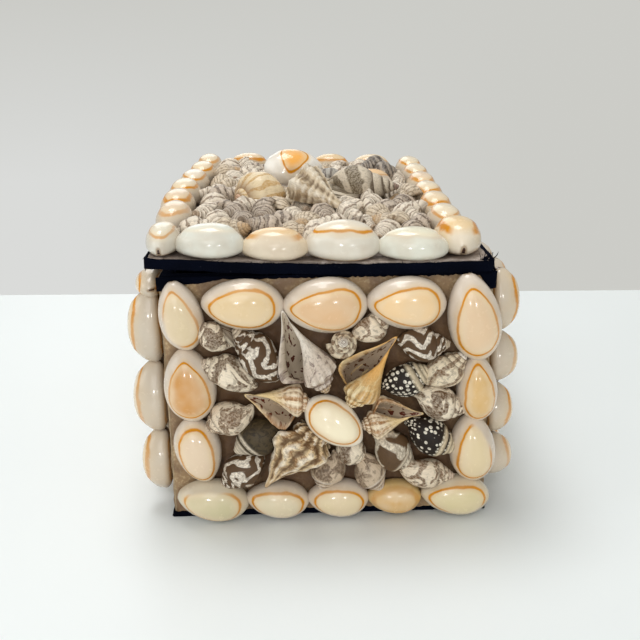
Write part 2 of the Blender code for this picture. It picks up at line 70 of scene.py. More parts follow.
COORDINATES = "ShaderNodeTexCoord"
SEPARATE = "ShaderNodeSeparateXYZ"
NOISE = "ShaderNodeTexNoise"
CELLS = "ShaderNodeTexVoronoi"
MIX = "ShaderNodeMix"
SUMS = "ShaderNodeMath"
RANGE = "ShaderNodeMapRange"
BUMP = "ShaderNodeBump"
FACTOR, FIRST, SECOND, MIXED = 0, 6, 7, 2
SOFT = {"interpolation_type": "SMOOTHSTEP"}


def linear(colour: str) -> tuple[float, float, float, float]:
    """Turn an sRGB hex colour into linear values.

    Args:
        colour: a hash and six hex digits.

    Returns:
        Red, green, blue and alpha.
    """
    parts = [int(colour[i:i + 2], 16) / 255 for i in (1, 3, 5)]
    red, green, blue = [p / 12.92 if p <= 0.04045 else ((p + 0.055) / 1.055) ** 2.4 for p in parts]
    return red, green, blue, 1.0


def add_node(
    tree: bpy.types.NodeTree, kind: str, inputs: dict | None = None, **settings: object
) -> bpy.types.Node:
    """Add a node with its settings and links.

    Args:
        tree: the node tree to add to.
        kind: Blender's name for the kind of node.
        inputs: for each input, by name or number, a value or the socket that feeds it.
        settings: the node's own properties.

    Returns:
        The node.
    """
    made = tree.nodes.new(kind)
    for name, value in settings.items():
        setattr(made, name, value)
    for name, value in (inputs or {}).items():
        if isinstance(value, bpy.types.NodeSocket):
            tree.links.new(value, made.inputs[name])
        else:
            made.inputs[name].default_value = value
    return made


def smooth(low: float, high: float, value: float) -> float:
    """Return how far a value has come from low to high, from 0 to 1 with soft ends."""
    share = min(1.0, max(0.0, (value - low) / (high - low)))
    return share * share * (3 - 2 * share)


def settled(name: str, mesh: bmesh.types.BMesh) -> bpy.types.Mesh:
    """Turn a mesh that is being made into mesh data, and free it."""
    data = bpy.data.meshes.new(name)
    mesh.to_mesh(data)
    mesh.free()
    return data


def placed(name: str, data: bpy.types.ID) -> bpy.types.Object:
    """Put a mesh, a lamp or a camera into the scene."""
    made = bpy.data.objects.new(name, data)
    bpy.context.scene.collection.objects.link(made)
    return made


def thicken(cloth: bpy.types.Object, thick_mm: float) -> None:
    """Give a sheet of cloth its thickness, inwards from its face."""
    thick = cloth.modifiers.new("thickness", "SOLIDIFY")
    thick.thickness = thick_mm * MM
    thick.offset = -1.0


class Marking(Enum):
    """The ways in which a small shell is marked."""

    BLOTCHES = "blotches"
    ZIGZAG = "zigzag"
    DOTS = "dots"
    STREAKS = "streaks"
    BANDS = "bands"


@dataclass(frozen=True)
class Layer:
    """A colour that lies over others as far as a value says.

    at_low and at_high are how much of the colour shows where the value is low and where it is high, and soft
    rounds the way from one to the other.
    """

    value: bpy.types.NodeSocket
    colour: str | bpy.types.NodeSocket
    low: float = 0.0
    high: float = 1.0
    at_low: float = 0.0
    at_high: float = 1.0
    soft: bool = True


@dataclass(frozen=True)
class Finish:
    """A material that is made once, under its own name."""

    name: str

    def material(self) -> bpy.types.Material:
        """Return the material, made the first time it is asked for."""
        found = bpy.data.materials.get(self.name)
        if found:
            return found
        made = bpy.data.materials.new(self.name)
        made.use_nodes = True
        self.dress(made.node_tree, made.node_tree.nodes["Principled BSDF"])
        return made

    def dress(self, tree: bpy.types.NodeTree, shader: bpy.types.Node) -> None:
        """Fill in the shader. Each finish has its own way."""
        raise NotImplementedError(self.name)

    @staticmethod
    def overlaid(tree: bpy.types.NodeTree, under: object, layers: list[Layer]) -> bpy.types.NodeSocket:
        """Lay colours over one another.

        Args:
            tree: the material's node tree.
            under: the lowest colour, as four values or the socket that gives it.
            layers: the colours over it, from the lowest to the highest.

        Returns:
            The socket that gives what shows.
        """
        for layer in layers:
            limits = {1: layer.low, 2: layer.high, 3: layer.at_low, 4: layer.at_high}
            run = "SMOOTHSTEP" if layer.soft else "LINEAR"
            amount = add_node(tree, RANGE, {0: layer.value, **limits}, interpolation_type=run).outputs[0]
            over = linear(layer.colour) if isinstance(layer.colour, str) else layer.colour
            mixed = add_node(tree, MIX, {FACTOR: amount, FIRST: under, SECOND: over}, data_type="RGBA")
            under = mixed.outputs[MIXED]
        return under

    @staticmethod
    def finish(tree: bpy.types.NodeTree, shader: bpy.types.Node, links: dict, values: dict) -> None:
        """Link and set the shader's own sockets.

        Args:
            tree: the material's node tree.
            shader: the shader.
            links: for each linked input, the socket that feeds it.
            values: for each other input, its value.
        """
        for name, socket in links.items():
            tree.links.new(socket, shader.inputs[name])
        for name, value in values.items():
            shader.inputs[name].default_value = value


@dataclass(frozen=True)
class CowrieEnamel(Finish):
    """Cowrie shell: enamel laid down by the animal, which gives a deep, wet gloss over a soft cream body.

    The back has a thin golden ring, and outside it the margin is a whiter callus. Painted shade darkens the
    margin towards the glue and darkens the notches at the ends.
    """

    margin_shade: str = "#C4AE94"
    inner: str = "#E6D2B4"
    ring: str = "#DA9200"
    ring_deep: str = "#BE7400"
    halo: str = "#E6BC66"
    # glue_shade and slot are painted shade: the margin near the glue and the end notches are darkened
    glue_shade: str = "#8A6A44"
    slot: str = "#3A2012"
    ring_width_mm: float = 0.29

    def dress(self, tree: bpy.types.NodeTree, shader: bpy.types.Node) -> None:
        """Paint the ring from the mesh's own ring_mark, tint and callus attributes, and the painted shade that
        ring_mark carries in its third part.
        """
        mark, tint, callus = [
            add_node(tree, ATTRIBUTE, attribute_name=name) for name in ("ring_mark", "tint", "callus")
        ]
        place = add_node(tree, COORDINATES).outputs["Object"]
        stir, cloud, pits = [
            add_node(
                tree, NOISE, {"Vector": place, "Scale": 1 / (size * MM), "Detail": detail}
            ).outputs["Fac"]
            for size, detail in ((4.0, 3.0), (7.0, 2.0), (1.6, 4.0))
        ]
        off, strength, painted_shade = add_node(tree, SEPARATE, {"Vector": mark.outputs["Vector"]}).outputs
        shift = add_node(tree, SUMS, {0: stir, 1: 0.8, 2: -0.4}, operation="MULTIPLY_ADD")
        away = add_node(tree, SUMS, {0: off, 1: shift.outputs[0]}, operation="ADD").outputs[0]
        near = add_node(tree, SUMS, {0: away}, operation="ABSOLUTE").outputs[0]
        wide = self.ring_width_mm
        line = add_node(tree, RANGE, {0: near, 1: wide * 0.5, 2: wide * 1.7, 3: 1.0, 4: 0.0}, **SOFT)
        glow = add_node(tree, RANGE, {0: near, 1: 0.0, 2: wide * 6, 3: 0.42, 4: 0.0}, **SOFT)
        full = add_node(tree, SUMS, {0: strength, 1: 1.35}, operation="MULTIPLY", use_clamp=True)
        ringed = add_node(tree, SUMS, {0: line.outputs[0], 1: full.outputs[0]}, operation="MULTIPLY")
        hazy = add_node(tree, SUMS, {0: glow.outputs[0], 1: strength}, operation="MULTIPLY")
        core = add_node(tree, RANGE, {0: away, 1: -3.0, 2: -0.2, 3: 0.0, 4: 0.45}, **SOFT)
        patchy = add_node(tree, RANGE, {0: cloud, 1: 0.38, 2: 0.68, 3: 0.0, 4: 0.35})
        milky = add_node(tree, SUMS, {0: patchy.outputs[0], 1: core.outputs[0]}, operation="ADD")
        dome = self.overlaid(tree, tint.outputs["Color"], [Layer(milky.outputs[0], self.inner, soft=False)])
        amber = self.overlaid(tree, linear(self.ring), [Layer(cloud, self.ring_deep, soft=False)])
        colour = self.overlaid(tree, callus.outputs["Color"], [
            Layer(cloud, self.margin_shade, 0.38, 0.68, 0.0, 0.35, soft=False),
            Layer(away, dome, -0.9, 0.5, 1.0, 0.0),
            Layer(hazy.outputs[0], self.halo, soft=False),
            Layer(ringed.outputs[0], amber, soft=False),
            # painted shade: darker towards the glue, and dark in the end notches
            Layer(painted_shade, self.glue_shade, 0.0, 0.5, 0.0, 0.7),
            Layer(painted_shade, self.slot, 0.6, 0.8),
        ])
        dull = add_node(tree, RANGE, {0: pits, 1: 0.35, 2: 0.7, 3: 0.16, 4: 0.30})
        dent = add_node(tree, BUMP, {"Strength": 0.18, "Distance": 0.12 * MM, "Height": cloud})
        self.finish(
            tree, shader, {"Base Color": colour, "Roughness": dull.outputs[0], "Normal": dent.outputs[0]},
            {"Specular IOR Level": 0.35, "Coat Weight": 0.35, "Coat Roughness": 0.07},
        )


@dataclass(frozen=True)
class ShellSkin(Finish):
    """Sea snail shell: chalky lime under a thin worn skin, satin where it is rubbed and pale at the spire.

    The marks follow the whorls, because the mesh carries its own skin attribute in millimetres.
    """

    ground: str
    mark: str
    marking: Marking
    mark_mm: float = 2.2
    cover: float = 0.5
    tip: str = "#EFE7DC"
    tip_share: float = 0.45
    # streak_and_shade colours the growth streaks and mottling, and is painted shade in grooves and sutures;
    # wear_and_highlight is wear and painted highlight on crests
    streak_and_shade: str = "#6B5B4B"
    wear_and_highlight: str = "#F4ECDF"
    inside: str = "#B9A9A2"
    inside_spot: str = "#5A2A20"
    canal: str = ""
    streaked: float = 0.3
    mottled: float = 0.45
    mottle_mm: float = 1.6
    collar: float = 0.0
    shine: float = 0.38

    def pattern(self, tree: bpy.types.NodeTree, skin: bpy.types.NodeSocket) -> bpy.types.NodeSocket:
        """Return where the marks are.

        Args:
            tree: the material's node tree.
            skin: the place on the shell's skin, in millimetres.

        Returns:
            A socket that is 1 on a mark and 0 on the ground.
        """
        stir = add_node(
            tree, NOISE, {"Vector": skin, "Scale": 0.7 / self.mark_mm, "Detail": 2.0, "Distortion": 0.8}
        ).outputs["Fac"]
        if self.marking is Marking.DOTS:
            cell = add_node(tree, CELLS, {"Vector": skin, "Scale": 1 / self.mark_mm, "Randomness": 0.6})
            reach = 0.48 * self.cover
            limits = {0: cell.outputs["Distance"], 1: reach, 2: reach * 1.3, 3: 1.0, 4: 0.0}
        elif self.marking is Marking.BLOTCHES:
            edge = 0.62 - 0.24 * self.cover
            limits = {0: stir, 1: edge - 0.03, 2: edge + 0.03}
        else:
            edge = 0.5 - 0.5 * self.cover
            limits = {0: self.waves(tree, skin, stir), 1: edge - 0.05, 2: edge + 0.05}
        return add_node(tree, RANGE, limits, **SOFT).outputs[0]

    def waves(
        self, tree: bpy.types.NodeTree, skin: bpy.types.NodeSocket, stir: bpy.types.NodeSocket
    ) -> bpy.types.NodeSocket:
        """Return a value that rises and falls once in each mark of a streaked, banded or zigzag shell.

        Args:
            tree: the material's node tree.
            skin: the place on the shell's skin, in millimetres.
            stir: the unevenness that sways the marks.

        Returns:
            A socket that runs from 0 to 0.5 and back.
        """
        around, along, _ = add_node(tree, SEPARATE, {"Vector": skin}).outputs
        zigzag = self.marking is Marking.ZIGZAG
        count = 1 / self.mark_mm
        course = along if self.marking is Marking.BANDS else around
        turns = add_node(tree, SUMS, {0: course, 1: count}, operation="MULTIPLY").outputs[0]
        swayed = add_node(
            tree, SUMS, {0: stir, 1: 2.4 if zigzag else 1.1, 2: turns}, operation="MULTIPLY_ADD"
        ).outputs[0]
        if zigzag:
            tent = add_node(tree, SUMS, {0: along, 1: self.mark_mm * 0.9}, operation="PINGPONG").outputs[0]
            swayed = add_node(
                tree, SUMS, {0: tent, 1: count, 2: swayed}, operation="MULTIPLY_ADD"
            ).outputs[0]
        return add_node(tree, SUMS, {0: swayed, 1: 0.5}, operation="PINGPONG").outputs[0]

    def dress(self, tree: bpy.types.NodeTree, shader: bpy.types.Node) -> None:
        """Lay the marks, the pale tip, crests lightened for wear and painted highlight, and grooves and
        sutures darkened with painted shade over one another.
        """
        skin = add_node(tree, ATTRIBUTE, attribute_name="skin").outputs["Vector"]
        fold = add_node(tree, ATTRIBUTE, attribute_name="fold").outputs["Vector"]
        front = add_node(tree, ATTRIBUTE, attribute_name="front").outputs["Fac"]
        age, relief, inner = add_node(tree, SEPARATE, {"Vector": fold}).outputs
        place = add_node(tree, COORDINATES).outputs["Object"]
        thread = add_node(
            tree, "ShaderNodeVectorMath", {0: skin, 1: (3.2, 0.35, 1.0)}, operation="MULTIPLY"
        ).outputs[0]
        fine, growth, mottle, spot, grain = [
            add_node(
                tree, NOISE,
                {"Vector": where, "Scale": scale, "Detail": detail, "Roughness": rough, "Distortion": bent},
            ).outputs["Fac"]
            for where, scale, detail, rough, bent in (
                (skin, 1.3, 5.0, 0.65, 0.0), (thread, 1.0, 4.0, 0.7, 0.0),
                (skin, 1 / self.mottle_mm, 3.0, 0.6, 0.0), (skin, 0.42, 2.0, 0.4, 0.6),
                (place, 1 / (0.8 * MM), 4.0, 0.5, 0.0),
            )
        ]
        worn = add_node(tree, RANGE, {0: fine, 1: 0.38, 2: 0.62, 3: 1.0, 4: 0.5}, **SOFT).outputs[0]
        shown = add_node(tree, SUMS, {0: self.pattern(tree, skin), 1: worn}, operation="MULTIPLY").outputs[0]
        layers = [
            Layer(shown, self.mark, soft=False),
            Layer(age, self.tip, self.tip_share * 0.7, self.tip_share * 1.25, 0.85, 0.0),
        ]
        if self.collar:
            layers.append(Layer(front, self.tip, self.collar * 0.8, self.collar * 1.2, 0.9, 0.0))
        if self.canal:
            layers.append(Layer(front, self.canal, 0.42, 0.82, 0.0, 0.9))
        lining = self.overlaid(
            tree, linear(self.inside), [Layer(spot, self.inside_spot, 0.57, 0.62, 0.0, 0.95)]
        )
        layers += [
            # painted highlight and wear: the crests of ribs and knobs are lightened
            Layer(relief, self.wear_and_highlight, 0.25, 1.0, 0.0, 0.6, soft=False),
            Layer(growth, self.streak_and_shade, 0.46, 0.70, 0.0, self.streaked, soft=False),
            Layer(mottle, self.streak_and_shade, 0.52, 0.62, 0.0, self.mottled),
            # painted shade: grooves and sutures are darkened
            Layer(relief, self.streak_and_shade, -0.1, -1.0, 0.0, 0.9, soft=False),
            Layer(inner, lining, soft=False),
        ]
        rough = add_node(tree, RANGE, {0: fine, 1: 0.3, 2: 0.7, 3: self.shine, 4: self.shine + 0.2})
        glossy = add_node(
            tree, SUMS, {0: inner, 1: -0.25, 2: rough.outputs[0]}, operation="MULTIPLY_ADD", use_clamp=True
        )
        dent = add_node(tree, BUMP, {"Strength": 0.45, "Distance": 0.12 * MM, "Height": grain})
        colour = self.overlaid(tree, linear(self.ground), layers)
        self.finish(
            tree, shader, {"Base Color": colour, "Roughness": glossy.outputs[0], "Normal": dent.outputs[0]},
            {"Specular IOR Level": 0.3},
        )


@dataclass(frozen=True)
class Velvet(Finish):
    """Cotton velvet, woven and cut to a short pile: near black, with a painted sheen that turns broad patches
    bluer, as where the pile leans.
    """

    colour: str = "#020308"
    pile_sheen: str = "#060C1E"
    dust: str = "#4A4A52"
    sheen: str = "#5A6FB8"
    pile_mm: float = 0.35

    def dress(self, tree: bpy.types.NodeTree, shader: bpy.types.Node) -> None:
        """Break the pile up into tufts, with a little pale lint on it."""
        place = add_node(tree, COORDINATES).outputs["Object"]
        tuft, lean, lint = [
            add_node(
                tree, NOISE, {"Vector": place, "Scale": 1 / (size * MM), "Detail": detail}
            ).outputs["Fac"]
            for size, detail in ((self.pile_mm, 2.0), (16.0, 5.0), (0.5, 3.0))
        ]
        colour = self.overlaid(tree, linear(self.colour), [
            # painted sheen: broad noise patches turned bluer
            Layer(lean, self.pile_sheen, 0.3, 0.7, 0.1, 0.7, soft=False),
            Layer(lint, self.dust, 0.69, 0.76, 0.0, 0.55),
        ])
        nap = add_node(tree, BUMP, {"Strength": 0.7, "Distance": 0.2 * MM, "Height": tuft})
        self.finish(tree, shader, {"Base Color": colour, "Normal": nap.outputs[0]}, {
            "Roughness": 0.95, "Specular IOR Level": 0.06, "Sheen Weight": 0.03, "Sheen Roughness": 0.5,
            "Sheen Tint": linear(self.sheen),
        })


@dataclass(frozen=True)
class DriedGlue(Finish):
    """Animal glue, brushed on and dried with sand and dust in it: matt tan crumbs with glassy patches."""

    colour: str
    pale: str
    dark: str
    field_shade: str = "#62442A"
    crumb_mm: float = 1.1

    def dress(self, tree: bpy.types.NodeTree, shader: bpy.types.Node) -> None:
        """Mix pale crumbs and dark patches, darken the glue away from the panel's edges with painted shade,
        and add a gloss that comes and goes.
        """
        place = add_node(tree, COORDINATES).outputs["Object"]
        deep = add_node(tree, ATTRIBUTE, attribute_name="deep").outputs["Fac"]
        broad, crumb = [
            add_node(
                tree, NOISE, {"Vector": place, "Scale": 1 / (size * MM), "Detail": detail, "Roughness": rough}
            ).outputs["Fac"]
            for size, detail, rough in ((7.0, 4.0, 0.5), (self.crumb_mm, 5.0, 0.65))
        ]
        colour = self.overlaid(tree, linear(self.colour), [
            Layer(crumb, self.pale, 0.48, 0.66),
            Layer(broad, self.dark, 0.36, 0.62, 0.85, 0.0),
            # painted shade: the glue is darker away from the panel's edges, among the shells
            Layer(deep, self.field_shade, 0.0, 1.0, 0.0, 0.82, soft=False),
        ])
        rough = add_node(tree, RANGE, {0: broad, 1: 0.4, 2: 0.6, 3: 0.45, 4: 0.9}).outputs[0]
        lumps = add_node(tree, BUMP, {"Strength": 0.8, "Distance": 0.35 * MM, "Height": crumb}).outputs[0]
        self.finish(tree, shader, {"Base Color": colour, "Roughness": rough, "Normal": lumps}, {})


@dataclass(frozen=True)
class PulpBoard(Finish):
    """Grey-brown pulp board, rolled from waste paper: flat and matt, with short fibres and broad stains."""

    colour: str = "#B5A386"
    dark: str = "#857257"
    fibre_mm: float = 1.4

    def dress(self, tree: bpy.types.NodeTree, shader: bpy.types.Node) -> None:
        """Draw the fibres as a fine grain over broad stains."""
        place = add_node(tree, COORDINATES).outputs["Object"]
        grain, stain = [
            add_node(
                tree, NOISE, {"Vector": place, "Scale": 1 / (size * MM), "Detail": detail, "Roughness": rough}
            ).outputs["Fac"]
            for size, detail, rough in ((self.fibre_mm, 5.0, 0.7), (14.0, 3.0, 0.5))
        ]
        both = add_node(tree, SUMS, {0: grain, 1: stain}, operation="MULTIPLY").outputs[0]
        colour = self.overlaid(
            tree, linear(self.dark), [Layer(both, self.colour, 0.12, 0.40, soft=False)]
        )
        fibre = add_node(tree, BUMP, {"Strength": 0.5, "Distance": 0.08 * MM, "Height": grain}).outputs[0]
        self.finish(tree, shader, {"Base Color": colour, "Normal": fibre}, {"Roughness": 0.92})


@dataclass(frozen=True)
class TableTop(Finish):
    """White melamine table top, pressed smooth: plain, bright and faintly glossy."""

    colour: str = "#EAEFF0"

    def dress(self, tree: bpy.types.NodeTree, shader: bpy.types.Node) -> None:
        """Leave the top plain, with only a breath of unevenness in its gloss."""
        place = add_node(tree, COORDINATES).outputs["Object"]
        haze = add_node(tree, NOISE, {"Vector": place, "Scale": 1 / (60 * MM), "Detail": 2.0}).outputs["Fac"]
        rough = add_node(tree, RANGE, {0: haze, 1: 0.3, 2: 0.7, 3: 0.42, 4: 0.5}).outputs[0]
        self.finish(tree, shader, {"Roughness": rough}, {"Base Color": linear(self.colour)})


ENAMEL = CowrieEnamel("cowrie_enamel")
VELVET = Velvet("navy_cotton_velvet")
GLUE = DriedGlue("dried_glue", colour="#A08462", pale="#BEA682", dark="#73573C")
LID_GLUE = DriedGlue("dried_glue_on_lid", colour="#A5968A", pale="#CFC3BA", dark="#6E6056", field_shade="#3A2C20")
BOARD = PulpBoard("pulp_board")
MARBLED = ShellSkin("dove_shell_marbled", "#EBDDC6", "#5C3E22", Marking.BLOTCHES, 3.6, 0.50, tip="#D9C6B0")
ZIGZAG = ShellSkin(
    "dove_shell_zigzag", "#573F28", "#F2E8D8", Marking.ZIGZAG, 6.0, 0.42, tip="#CDBCA4", mottled=0.25,
    streak_and_shade="#4A3826",
)
FLECKED = ShellSkin("dove_shell_flecked", "#E6D6BE", "#6C4C2E", Marking.BLOTCHES, 2.4, 0.46, tip="#D8C4B0")
DOTTED = ShellSkin(
    "dove_shell_dotted", "#190E06", "#F2EAD8", Marking.DOTS, 1.5, 0.66, tip="#E0CFB0", tip_share=0.62,
    streaked=0.1, mottled=0.2, streak_and_shade="#3A2818", collar=0.22, shine=0.45,
)
BROWN = ShellSkin(
    "dove_shell_brown", "#5C442C", "#ECE0CA", Marking.BLOTCHES, 5.0, 0.40, tip="#E2D3BC", tip_share=0.6,
    mottled=0.3, streak_and_shade="#43301E", collar=0.2,
)
MOSSY = ShellSkin(
    "dove_shell_mossy", "#493C26", "#2C2214", Marking.BLOTCHES, 1.4, 0.5, tip="#E6D8C2", tip_share=0.6,
    streak_and_shade="#2E2418", collar=0.2,
)
PINKISH = ShellSkin(
    "dove_shell_pinkish", "#C9B59C", "#6C5642", Marking.BLOTCHES, 3.0, 0.42, tip="#E6D9CA", mottled=0.5,
    collar=0.2,
)
STRIPED = ShellSkin("dove_shell_striped", "#E6D7BC", "#6E4E30", Marking.STREAKS, 4.6, 0.40)
RIBBED = ShellSkin(
    "whelk_ribbed", "#F0DDBE", "#B08050", Marking.STREAKS, 4.4, 0.34, tip="#EEDFC6", streak_and_shade="#8A6038",
    wear_and_highlight="#FAF2E0", inside="#B8A48C", inside_spot="#581C0C", canal="#EBCF98", mottled=0.2,
)
WHITE_WHELK = ShellSkin(
    "whelk_white", "#D3C4B4", "#7A6660", Marking.BLOTCHES, 3.8, 0.30, tip="#B99C72", streak_and_shade="#6E5844",
    wear_and_highlight="#EEE4D6", inside="#B5A590", inside_spot="#4A1A0E", canal="#E9E0D2", mottled=0.3,
)
HONEY_WHELK = ShellSkin(
    "whelk_honey", "#E3CC9C", "#CFA262", Marking.BLOTCHES, 7.0, 0.5, tip="#E3D2AE", streak_and_shade="#85602F",
    wear_and_highlight="#F4E9CE", inside="#A08C76", inside_spot="#57341F", canal="#E8B060", mottled=0.15,
)
NODULAR = ShellSkin(
    "whelk_nodular", "#E0C69C", "#8E6840", Marking.BLOTCHES, 2.6, 0.42, tip="#C8AC86", streak_and_shade="#5A3E22",
    wear_and_highlight="#FBF3E2", canal="#D8BC94", mottled=0.4,
)
SNAIL = ShellSkin(
    "striped_snail", "#E6D9C6", "#7E6854", Marking.BANDS, 4.0, 0.24, tip="#B89E84", tip_share=0.25,
    streak_and_shade="#382819", wear_and_highlight="#F8F1E5", streaked=0.35, mottled=0.3, mottle_mm=2.4,
)
SNAIL_GREY = ShellSkin(
    "grey_snail", "#C6B6A4", "#5E4C3C", Marking.BANDS, 3.4, 0.34, tip="#9A8671", tip_share=0.3,
    streak_and_shade="#32261C", wear_and_highlight="#E2D6C6", streaked=0.45, mottled=0.4, mottle_mm=1.6,
)
SNAIL_TAN = ShellSkin(
    "tan_snail", "#D6C6AE", "#8F7A62", Marking.STREAKS, 1.8, 0.3, tip="#BC9A70", tip_share=0.6,
    streak_and_shade="#5A4636", wear_and_highlight="#E9DFD0",
)
SNAIL_DARK = ShellSkin(
    "dark_snail", "#A39789", "#4E453F", Marking.BANDS, 3.0, 0.5, tip="#BDB2A4", tip_share=0.4,
    streak_and_shade="#2C2420", wear_and_highlight="#CFC6B8",
)
MOON = ShellSkin(
    "moon_snail", "#E2CFAC", "#C29C64", Marking.STREAKS, 5.0, 0.40, tip="#D8B098", tip_share=0.5,
    streak_and_shade="#8B6B4C", wear_and_highlight="#EAD9B8", shine=0.2, streaked=0.2, mottled=0.15,
)
KNOBBED = ShellSkin(
    "knobbed_whelk", "#D2C0A4", "#A08868", Marking.BLOTCHES, 3.0, 0.3, tip="#B8A684", streak_and_shade="#6A543A",
    wear_and_highlight="#F8F0E0", mottled=0.15,
)
BANDED = ShellSkin(
    "banded_conch", "#D2C5B0", "#5E5038", Marking.BANDS, 13.0, 0.5, tip="#8E7468", tip_share=0.3,
    streak_and_shade="#5A4A3E", wear_and_highlight="#E5DCD0", mottled=0.3,
)
TURBAN = ShellSkin(
    "grey_turban", "#B4AEA4", "#6A6058", Marking.STREAKS, 3.2, 0.4, tip="#A9A39E", streak_and_shade="#4A4038",
    wear_and_highlight="#D4CEC4",
)


@dataclass(frozen=True)
class Spot:
    """Where a shell lies on a panel, in millimetres and degrees.

    u and v are its middle, and turn is the direction of its narrow or spire end. raised lifts it off the
    glue, roll turns a coiled shell about its own axis, from 0 with its mouth down to 180 with its mouth up,
    and tilt brings its spire end down.
    """

    u: float
    v: float
    turn: float
    length: float
    width: float
    height: float = 0.0
    raised: float = 0.0
    roll: float = 0.0
    tilt: float = 0.0

    @property
    def lean(self) -> Matrix:
        """Return the matrix that rolls the shell and then tilts it."""
        return Matrix.Rotation(radians(self.tilt), 4, "Y") @ Matrix.Rotation(radians(self.roll), 4, "X")


@dataclass(frozen=True)
class Panel:
    """A flat face that carries shells: u runs right and v runs up, seen from outside, and w stands out."""

    origin: Vector
    u: Vector
    v: Vector
    w: Vector
    width: float
    height: float
    body: str

    def matrix(self) -> Matrix:
        """Return the matrix from panel coordinates, in metres, to the object's."""
        return Matrix.Translation(self.origin) @ Matrix((self.u, self.v, self.w)).transposed().to_4x4()

    def place(self, spot: Spot) -> Matrix:
        """Return the matrix that takes a shell from its own axes to its spot."""
        there = Matrix.Translation((spot.u * MM, spot.v * MM, spot.raised * MM))
        return self.matrix() @ there @ Matrix.Rotation(radians(spot.turn), 4, "Z")


@dataclass
class Piece:
    """A mesh that is being made, and the object that it becomes."""

    name: str
    body: str
    slot: str
    finishes: list[Finish]
    stands_for: tuple[str, ...] = ()
    mesh: bmesh.types.BMesh = field(default_factory=bmesh.new)

    def made(self) -> bpy.types.Object:
        """Turn the mesh into a smooth object that rides on its body.

        Returns:
            The object.
        """
        data = settled(self.name, self.mesh)
        data.shade_smooth()
        for finish in self.finishes:
            data.materials.append(finish.material())
        made = placed(self.name, data)
        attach(made, self.body)
        if self.stands_for:
            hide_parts(*self.stands_for)
        LOG.info("%s: %d faces", self.name, len(data.polygons))
        return made


@dataclass(frozen=True)
class CowrieLook:
    """How one cowrie is coloured: its back, and how strong and how whole its ring is."""

    tint: str = "#EFD9B6"
    ring: float = 1.0
    gap_at: float | None = None
    pinch: float = 0.30
    thick: float = 1.0
    seed: int = 0
    margin: str = "#D8CABA"


@dataclass(frozen=True)
class Cowrie:
    """A ring cowrie: an egg-shaped dome with a callused margin and a notch at each end.

    The sizes are shares of the shell's own length, width and height.
    """

    segments: int = 56
    rings: int = 28
    taper: float = 0.12
    margin_height: float = 0.30
    beak: float = 0.025
    notch: float = 0.05
    ring_length: float = 0.80
    ring_width: float = 0.70

    def surface(self, unit: Vector) -> Vector:
        """Return the place, in shares of length, width and height, of a point of the unit ball."""
        flat = hypot(unit.x, unit.y)
        if unit.z >= 0:
            reach = flat ** 0.90
            rise = self.margin_height + (1 - self.margin_height) * unit.z ** 0.92
            rise -= 0.03 * exp(-((reach - 0.84) / 0.07) ** 2)
        else:
            reach = flat ** 0.85
            rise = self.margin_height * (1 - (-unit.z) ** 0.85)
        if flat < 1e-6:
            return Vector((0.0, 0.0, rise))
        ahead, aside = unit.x / flat, unit.y / flat
        x = 0.5 * reach * ahead
        y = 0.5 * reach * aside * (1 - self.taper * ahead)
        low = 1 - smooth(0.35, 0.75, rise)
        end = abs(ahead) ** 14 * low * reach
        cut = self.notch * exp(-((aside / 0.10) ** 2)) * (1 - smooth(0.12, 0.42, rise)) * reach
        x += (1 if ahead > 0 else -1) * (self.beak * end - cut)
        return Vector((x, y, rise * (1 - 0.05 * x)))

    def lay(self, piece: Piece, panel: Panel, spot: Spot, look: CowrieLook) -> None:
        """Add a cowrie to a piece.

        Args:
            piece: the piece to add to.
            panel: the face that the shell is glued to.
            spot: where it lies, and its size.
            look: its colours.
        """
        mesh = piece.mesh
        layers = mesh.verts.layers.float_vector
        names = ("ring_mark", "tint", "callus")
        for name in names:
            if layers.get(name) is None:
                layers.new(name)
        mark, tint, callus = [layers[name] for name in names]
        colour, margin = [Vector(linear(c)[:3]) for c in (look.tint, look.margin)]
        chance = Random(look.seed)
        phases = [chance.uniform(0, 2 * pi) for _ in range(3)]
        verts = bmesh.ops.create_uvsphere(
            mesh, u_segments=self.segments, v_segments=self.rings, radius=1.0
        )["verts"]
        long, wide = self.ring_length * spot.length / 2, self.ring_width * spot.width / 2
        for vertex in verts:
            place = self.surface(vertex.co)
            x = place.x * spot.length
            y = place.y * spot.width
            angle = atan2(y / wide, x / long)
            pointed = wide * (1 - look.pinch * max(-0.6, min(0.95, x / long)))
            power = 2.25 - 1.1 * look.pinch * smooth(0.0, 1.0, x / long)
            form = (abs(x / long) ** power + abs(y / pointed) ** power) ** (1 / power)
            sway = 1 + 0.03 * sin(2 * angle + phases[0]) + 0.02 * sin(3 * angle + phases[1])
            away = hypot(x, y) * (1 - sway / form) if form > 0.05 else -wide
            strength = look.ring * (0.82 + 0.18 * cos(2 * angle)) * (0.9 + 0.1 * sin(angle + phases[2]))
            if look.gap_at is not None:
                apart = (angle - radians(look.gap_at) + pi) % (2 * pi) - pi
                strength *= smooth(0.45, 1.1, abs(apart))
            # painted shade mask: dark in the end notches and darker low on the shell, towards the glue
            slot = exp(-((place.y / 0.06) ** 2)) * smooth(0.40, 0.46, abs(place.x))
            slot *= 1 - smooth(0.3, 0.5, place.z)
            painted_shade = max(0.5 * (1 - smooth(0.0, 0.22, place.z)), slot)
            vertex[mark] = Vector((away / look.thick, strength, painted_shade))
            vertex[tint] = colour
            vertex[callus] = margin
            vertex.co = Vector((place.x * spot.length, place.y * spot.width, place.z * spot.height)) * MM
        lift = Matrix.Translation((0.0, 0.0, spot.height * 0.4 * MM))
        matrix = panel.place(spot) @ lift @ spot.lean @ lift.inverted()
        bmesh.ops.transform(mesh, matrix=matrix, verts=verts)


